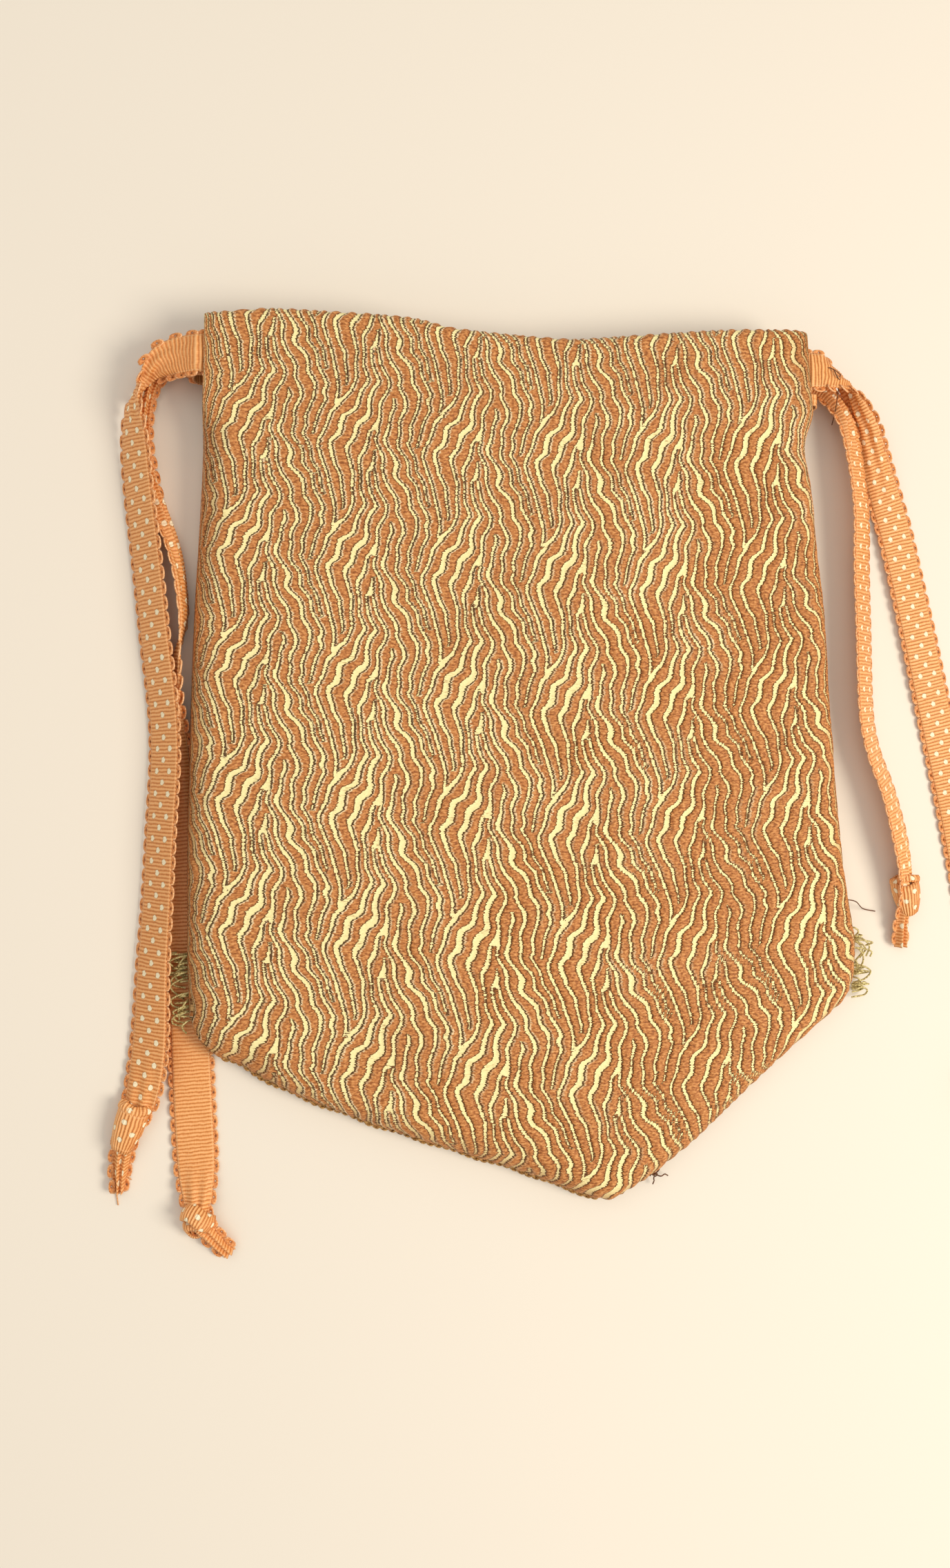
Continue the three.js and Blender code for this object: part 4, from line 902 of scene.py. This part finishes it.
def lobePiece():
    turns = np.linspace(0, 2 * np.pi, lobe["around"], endpoint=False)
    circle = np.stack([np.cos(turns), np.sin(turns)], -1)
    rounded = lobe["reach"] * np.abs(circle[:, 1]) ** lobe["blunt"]
    outer = np.where(circle[:, 1] > 0, rounded, circle[:, 1] * lobe["back"])
    outline = np.stack([circle[:, 0] * lobe["halfWide"], outer], -1)
    hole = circle * lobe["eyelet"] + [0, lobe["eyeletPlace"]]
    bead, rimShare = 0.5 + lobe["rim"] / lobe["thick"], lobe["rimShare"]
    rings, shares = [], []
    for share, lift in ((0, 0.5), (rimShare, bead), (1, 0), (rimShare, -bead), (0, -0.5)):
        ring = hole + (outline - hole) * share
        rings.append(np.concatenate([ring, np.full((len(ring), 1), lift * lobe["thick"])], 1))
        shares += [(share, 0, 0)] * len(ring)
    faces = gridFaces(len(rings), len(turns), closed=True, loop=True)
    return newMesh("scallop", np.concatenate(rings), faces, {"rim": shares})


ribbonCloth = ribbonMaterial()
lobeShape = lobePiece()
lobeTree = scatterTree("scalloped edge", lobeShape, lobeMaterial())
turnShift = (ribbons["width"] + ribbons["gathered"]) / 2 + ribbons["clearance"]
turnShare = ribbons["gathered"] / ribbons["width"]
for name, turnWide, shift in (("left", turnShare, turnShift), ("right", 1.0, 0.0)):
    points, faces, weave, lobes, length = buildRibbon(ribbons[name], turnWide, shift)
    band = newMesh("ribbon_" + name + "_band", points, faces, {"weave": weave})
    band.data.materials.append(ribbonCloth)
    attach(band, "root")
    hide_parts("ribbon_" + name)
    edge = scatter("ribbon_" + name + "_edge", lobeTree, lobes, {"Size": 1.0})
    area = ribbons["width"] * length * ribbons["bodyShare"] * mm * mm
    print("ribbon", name, "made,", len(band.data.polygons) * 2, "triangles,", len(lobes), "scallops")
bpy.data.objects.remove(lobeShape)


# The knots: turns of ribbon drawn tight round its own gathered end
knots = {
    "around": 132, "thick": 0.75, "bulge": 0.16, "ruffled": 0.3, "ruffles": 9, "wobble": 0.25,
    # place, the way the turn's axis points, half its width, its two radii, how much it tapers to
    # the end, how far it slants, how much its edge ruffles, and where the pattern starts
    "turns": [
        ((-111.4, -97.0, 3.0), (-0.31, -0.95, 0.0), 5.8, 3.9, 2.8, 0.18, 0.8, 0.0, 1.3),
        ((-109.6, -91.6, 3.0), (-0.31, -0.95, 0.05), 1.2, 4.5, 2.9, -0.1, 0.5, 0.4, 3.1),
        ((-93.4, -122.0, 3.5), (-0.47, -0.72, 0.5), 2.5, 4.7, 3.3, 0.0, 0.5, 0.0, 2.2),
        ((-94.2, -125.2, 2.5), (-0.25, -0.5, 0.75), 1.7, 3.5, 2.6, 0.1, 0.3, 0.25, 0.4),
        ((113.0, -38.8, 3.2), (0.14, -0.99, 0.0), 4.6, 4.1, 2.9, 0.16, 1.4, 0.0, 4.4),
        ((112.6, -34.6, 3.0), (0.1, -0.99, 0.1), 1.2, 4.6, 2.9, 0.0, -0.6, 0.4, 0.6),
        ((139.4, -98.6, 3.2), (0.1, -0.99, 0.0), 5.6, 4.5, 3.0, 0.2, 0.9, 0.0, 2.8),
    ],
}


def knotMesh():
    points, faces, weave = [], [], []
    angle = np.linspace(-np.pi / 2, 1.5 * np.pi, knots["around"], endpoint=False)
    outside, within = np.linspace(-1, 1, 11), np.linspace(1, -1, 5)
    share, angle = np.meshgrid(np.concatenate([outside, within]), angle, indexing="ij")
    inner = np.repeat([0.0, 1.0], [len(outside), len(within)])[:, None]
    for place, axis, half, radiusA, radiusB, taper, slant, ruffle, start in knots["turns"]:
        axis = unit(np.array(axis))
        across = unit(np.cross(axis, np.array([0.0, 0.0, 1.0])))
        other = np.cross(across, axis)
        ruffles = ruffle * knots["ruffled"] * np.sin(knots["ruffles"] * angle) * np.maximum(-share, 0)
        size = 1 - taper * share - knots["bulge"] * share ** 2 + ruffles
        ribs = ribbons["ribRelief"] * np.cos(2 * np.pi * (start + angle * radiusA)) * (1 - inner)
        thick = knots["thick"] * inner - ribs
        along = half * share + slant * np.sin(angle) + knots["wobble"] * np.sin(3 * angle + start)
        sideways, upright = np.cos(angle) * (radiusA * size - thick), np.sin(angle) * (radiusB * size - thick)
        grid = np.array(place) + axis * along[..., None]
        grid = grid + across * sideways[..., None] + other * upright[..., None]
        grid[..., 2] = np.maximum(grid[..., 2], ribbons["lowest"])
        faces += gridFaces(*share.shape, closed=True, loop=True, start=len(points))
        points += list(grid.reshape(-1, 3))
        dotted = np.where(inner > 0, -1.0, 1.0) * np.ones_like(angle)
        weave += list(np.stack([half * share, start + angle * radiusA, dotted], -1).reshape(-1, 3))
    return newMesh("ribbon_knots", points, faces, {"weave": weave})


piece = knotMesh()
piece.data.materials.append(ribbonCloth)
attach(piece, "root")
print("knots made")


def onCloth(x, y):
    across = (x - sideX(-1, np.array(y))) / (sideX(1, np.array(y)) - sideX(-1, np.array(y)))
    low = lowerY(across)
    up = (y - low) / (mouthY(across) - bag["casingDepth"] - low)
    return float(panelZ(across, np.array(float(up)), np.array(float(x)), np.array(float(y)), 1))


# Loose threads, each a smooth line through a few places in mm
random = np.random.default_rng(11)
goldSilk = threadMaterial("golden silk thread", "#8f7636", "#e9dc9c", 0.45)
brownCotton = threadMaterial("dark brown cotton thread", "#3a2012", "#7d4d28", 0.35)
seamThread = threadMaterial("golden brown sewing thread", "#7e5424", "#dcab63", 0.6)
frayedYarn = threadMaterial("frayed ribbon yarn", "#c9803f", "#f0b274", 0.4)
tufts = {
    "thick": 0.26, "steps": 7, "shuffle": 1.4, "rootOut": 0.1, "ends": 0.6,
    # ranges: shares of how far out and down, then mm
    "outShare": (0.3, 1), "downShare": (-0.25, 1.1), "rise": (0.1, 1.6), "start": (2.3, 3.9),
    "curl": (0.5, 0.95), "endOut": (0.1, 1.6),
    # side, up to, down to, how many strands, how far out, how far down
    "tuft_left": [(-1, -50.5, -57.5, 15, 6.2, 5.0), (-1, -61.0, -68.0, 13, 5.6, 5.5)],
    "tuft_right": [(1, -49.0, -54.0, 9, 6.8, 9.0), (1, -58.0, -67.0, 13, 6.4, 5.0)],
}
for name in ("tuft_left", "tuft_right"):
    lines = []
    for side, high, low, count, reach, fall in tufts[name]:
        for y in np.linspace(high, low, count) + random.uniform(-tufts["shuffle"], tufts["shuffle"], count):
            x = float(sideX(side, np.array(y))) + side * tufts["rootOut"]
            out = reach * random.uniform(*tufts["outShare"])
            drop = fall * random.uniform(*tufts["downShare"])
            lift, start = random.uniform(*tufts["rise"]), random.uniform(*tufts["start"])
            route = [(x, y, start), (x + side * out * 0.45, y - drop * 0.1, start + lift),
                     (x + side * out * 0.9, y - drop * 0.45, start + lift * 0.6),
                     (x + side * out * random.uniform(*tufts["curl"]), y - drop * 0.9, start - 0.7)]
            if random.random() < tufts["ends"]:
                endX = x + side * random.uniform(*tufts["endOut"])
                route.append((endX, y - drop * 1.1, start - 0.4))
            lines.append(smoothLine(route, tufts["steps"]))
    piece = sewn(name + "_threads", lines, tufts["thick"], goldSilk)
    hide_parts(name)

knotPlace = (34.4, -117.6, onCloth(34.4, -117.4) + 0.3)
# one thread each row: steps between its places, then the places
threads = {
    "dark_thread_knot": {"radius": 0.2, "made": brownCotton, "from": knotPlace, "lines": [
        (8, [(0, 0, 0), (0.5, 0.7, 0.5), (1.1, 1.6, 0.7), (0.5, 2.2, 0.6), (-0.2, 1.4, 0.5), (0, 0, 0.1)]),
        (8, [(0, 0, 0), (1.6, -0.5, 0.6), (3.2, -0.4, -0.6), (4.6, -1.3, -1.9)]),
        (8, [(0, 0, 0), (-0.3, -1.2, 0.1), (0.3, -2.4, -1.4), (0.2, -3.6, -2.3)]),
        (8, [(0, 0, 0), (-1.0, 0.2, 0.4), (-1.5, -0.4, 0.1)]),
        (8, [(-0.7, -0.2, 0), (0, 0.5, 0.5), (0.7, 0, 0.2), (0.1, -0.5, 0.4), (-0.6, 0, 0.5),
             (0.2, 0.3, 0.7)])]},
    "loose_brown_thread": {"radius": 0.17, "made": brownCotton, "from": (0, 0, 0), "lines": [
        (10, [(92.6, -39.6, 5.2), (95.4, -40.2, 5.4), (99.0, -42.6, 3.0), (104.4, -43.8, 0.4)])]},
    "dark_exit_threads": {"radius": 0.16, "made": brownCotton, "from": (0, 0, 0), "lines": [
        (8, [(83.4, 113.8, 12.6), (85.4, 112.9, 12.8), (87.6, 112.2, 11.6)]),
        (8, [(85.0, 113.0, 12.7), (86.2, 111.2, 12.4), (87.0, 110.6, 12.0)]),
        (8, [(87.4, 112.3, 11.7), (87.9, 108.5, 9.6), (88.9, 103.4, 5.6), (89.4, 100.6, 2.6)])]},
    "frayed_ends": {"radius": 0.16, "made": frayedYarn, "from": (0, 0, 0), "lines": [
        (8, [(-113.6, -108.0, 1.2), (-114.9, -112.6, 0.5), (-114.4, -118.4, 0.3)]),
        (6, [(-113.4, -107.4, 1.4), (-112.2, -110.2, 0.7), (-111.0, -111.8, 0.3)]),
        (6, [(-87.6, -130.6, 1.4), (-86.4, -132.6, 0.8), (-86.6, -134.4, 0.3)]),
        (6, [(112.2, -48.6, 1.4), (111.4, -51.4, 0.6), (112.0, -53.4, 0.3)])]},
}
for name, thread in threads.items():
    lines = [smoothLine(np.array(thread["from"]) + np.array(line), per) for per, line in thread["lines"]]
    sewn(name, lines, thread["radius"], thread["made"])
print("threads made")


# The overcast seam under the lower left edge
seam = {"from": 0.045, "to": 0.585, "pitch": 2.3, "height": 2.7, "outward": 0.35, "thread": 0.34,
        "slant": 0.75, "cord": 0.5, "samples": 400, "stray": 0.2,
        # one stitch, an arc over the edge: half its angle, height, how deep it sits, half its length
        "arc": 1.25, "arcHigh": 0.95, "arcDown": 0.4, "arcHalf": 1.7,
        "taper": (0.5, 0.9, 1, 1, 1, 1, 0.9, 0.5)}


def seamSpots():
    across = np.linspace(seam["from"], seam["to"], seam["samples"])
    y = lowerY(across)
    line = np.stack([acrossAt(across, y), y, seam["height"] + liftAt(across)], -1)
    line[:, :2] += seam["stray"] * np.sin(np.arange(seam["samples"]) / 9)[:, None]
    run = unit(np.gradient(line, axis=0))
    out = np.stack([run[:, 1], -run[:, 0], np.zeros(len(run))], -1)
    line = line + out * seam["outward"]
    along = lengthAlong(line)
    picks = np.searchsorted(along, np.arange(0.5, along[-1], seam["pitch"]))
    return line, [(line[k], out[k], unit(np.array([0, 0, 1.0]) + run[k] * seam["slant"])) for k in picks]


def stitchPiece():
    arc = np.linspace(-seam["arc"], seam["arc"], len(seam["taper"]))
    over = seam["arcHigh"] * np.cos(arc) - seam["arcDown"]
    line = np.stack([0 * arc, over, seam["arcHalf"] * np.sin(arc)], -1)
    turn = np.linspace(0, 2 * np.pi, 5, endpoint=False)
    across = np.tile([1.0, 0.0, 0.0], (len(line), 1))
    other = np.cross(unit(np.gradient(line, axis=0)), across)
    taper = np.array(seam["taper"]) * seam["thread"]
    ring = across[:, None] * np.cos(turn)[None, :, None] + other[:, None] * np.sin(turn)[None, :, None]
    ring = line[:, None] + ring * taper[:, None, None]
    count = len(line) * len(turn)
    faces = gridFaces(len(line), len(turn), closed=True)
    faces += [list(range(len(turn))), list(range(count - len(turn), count))[::-1]]
    return newMesh("stitch", ring.reshape(-1, 3), faces)


seamLine, seamPlaces = seamSpots()
stitchShape = stitchPiece()
seamTree = scatterTree("overcast seam", stitchShape, seamThread)
stitches = scatter("overcast_stitches", seamTree, seamPlaces, {"Size": 1.0})
bpy.data.objects.remove(stitchShape)
sewn("seam_cord", [seamLine[::4]], seam["cord"], seamThread)
print("seam made,", len(seamPlaces), "stitches")


# Floor and light, in metres but for the floor
room = {
    "board": "#f0e9de", "halfFloor": 1500, "floorDown": 0.02, "air": 0.56, "airColour": "#fffaf2",
    # place, size, power, colour
    "key": ((0.6, -0.16, 0.66), 0.5, 5.8, "#fff4e2"), "fill": ((-0.45, 0.3, 0.8), 0.8, 1.3, "#fff8ee"),
}


# Matt white foam board: even and soft, no gloss
def addFloor():
    material, tree, shader = newMaterial("matt white foam board")
    plug(tree, shader, {"Base Color": linear(room["board"]), "Roughness": 0.95, "Specular IOR Level": 0.1})
    far, down = room["halfFloor"], -room["floorDown"]
    corners = [(-far, -far, down), (far, -far, down), (far, far, down), (-far, far, down)]
    floor = newMesh("floor", corners, [[0, 1, 2, 3]])
    floor.data.materials.append(material)


def addLight(name):
    place, size, power, colour = room[name]
    data = bpy.data.lights.new(name, "AREA")
    data.shape = "DISK"
    data.size = size
    data.energy = power
    data.color = linear(colour)[:3]
    lamp = bpy.data.objects.new(name, data)
    lamp.location = place
    lamp.rotation_euler = (-Vector(place)).to_track_quat("-Z", "Y").to_euler()
    bpy.context.scene.collection.objects.link(lamp)


addFloor()
addLight("key")
addLight("fill")
world = bpy.data.worlds.new("room")
world.use_nodes = True
plug(world.node_tree, world.node_tree.nodes["Background"],
     {"Color": linear(room["airColour"]), "Strength": room["air"]})
bpy.context.scene.world = world
bpy.context.scene.view_settings.view_transform = "Standard"
print("light set")
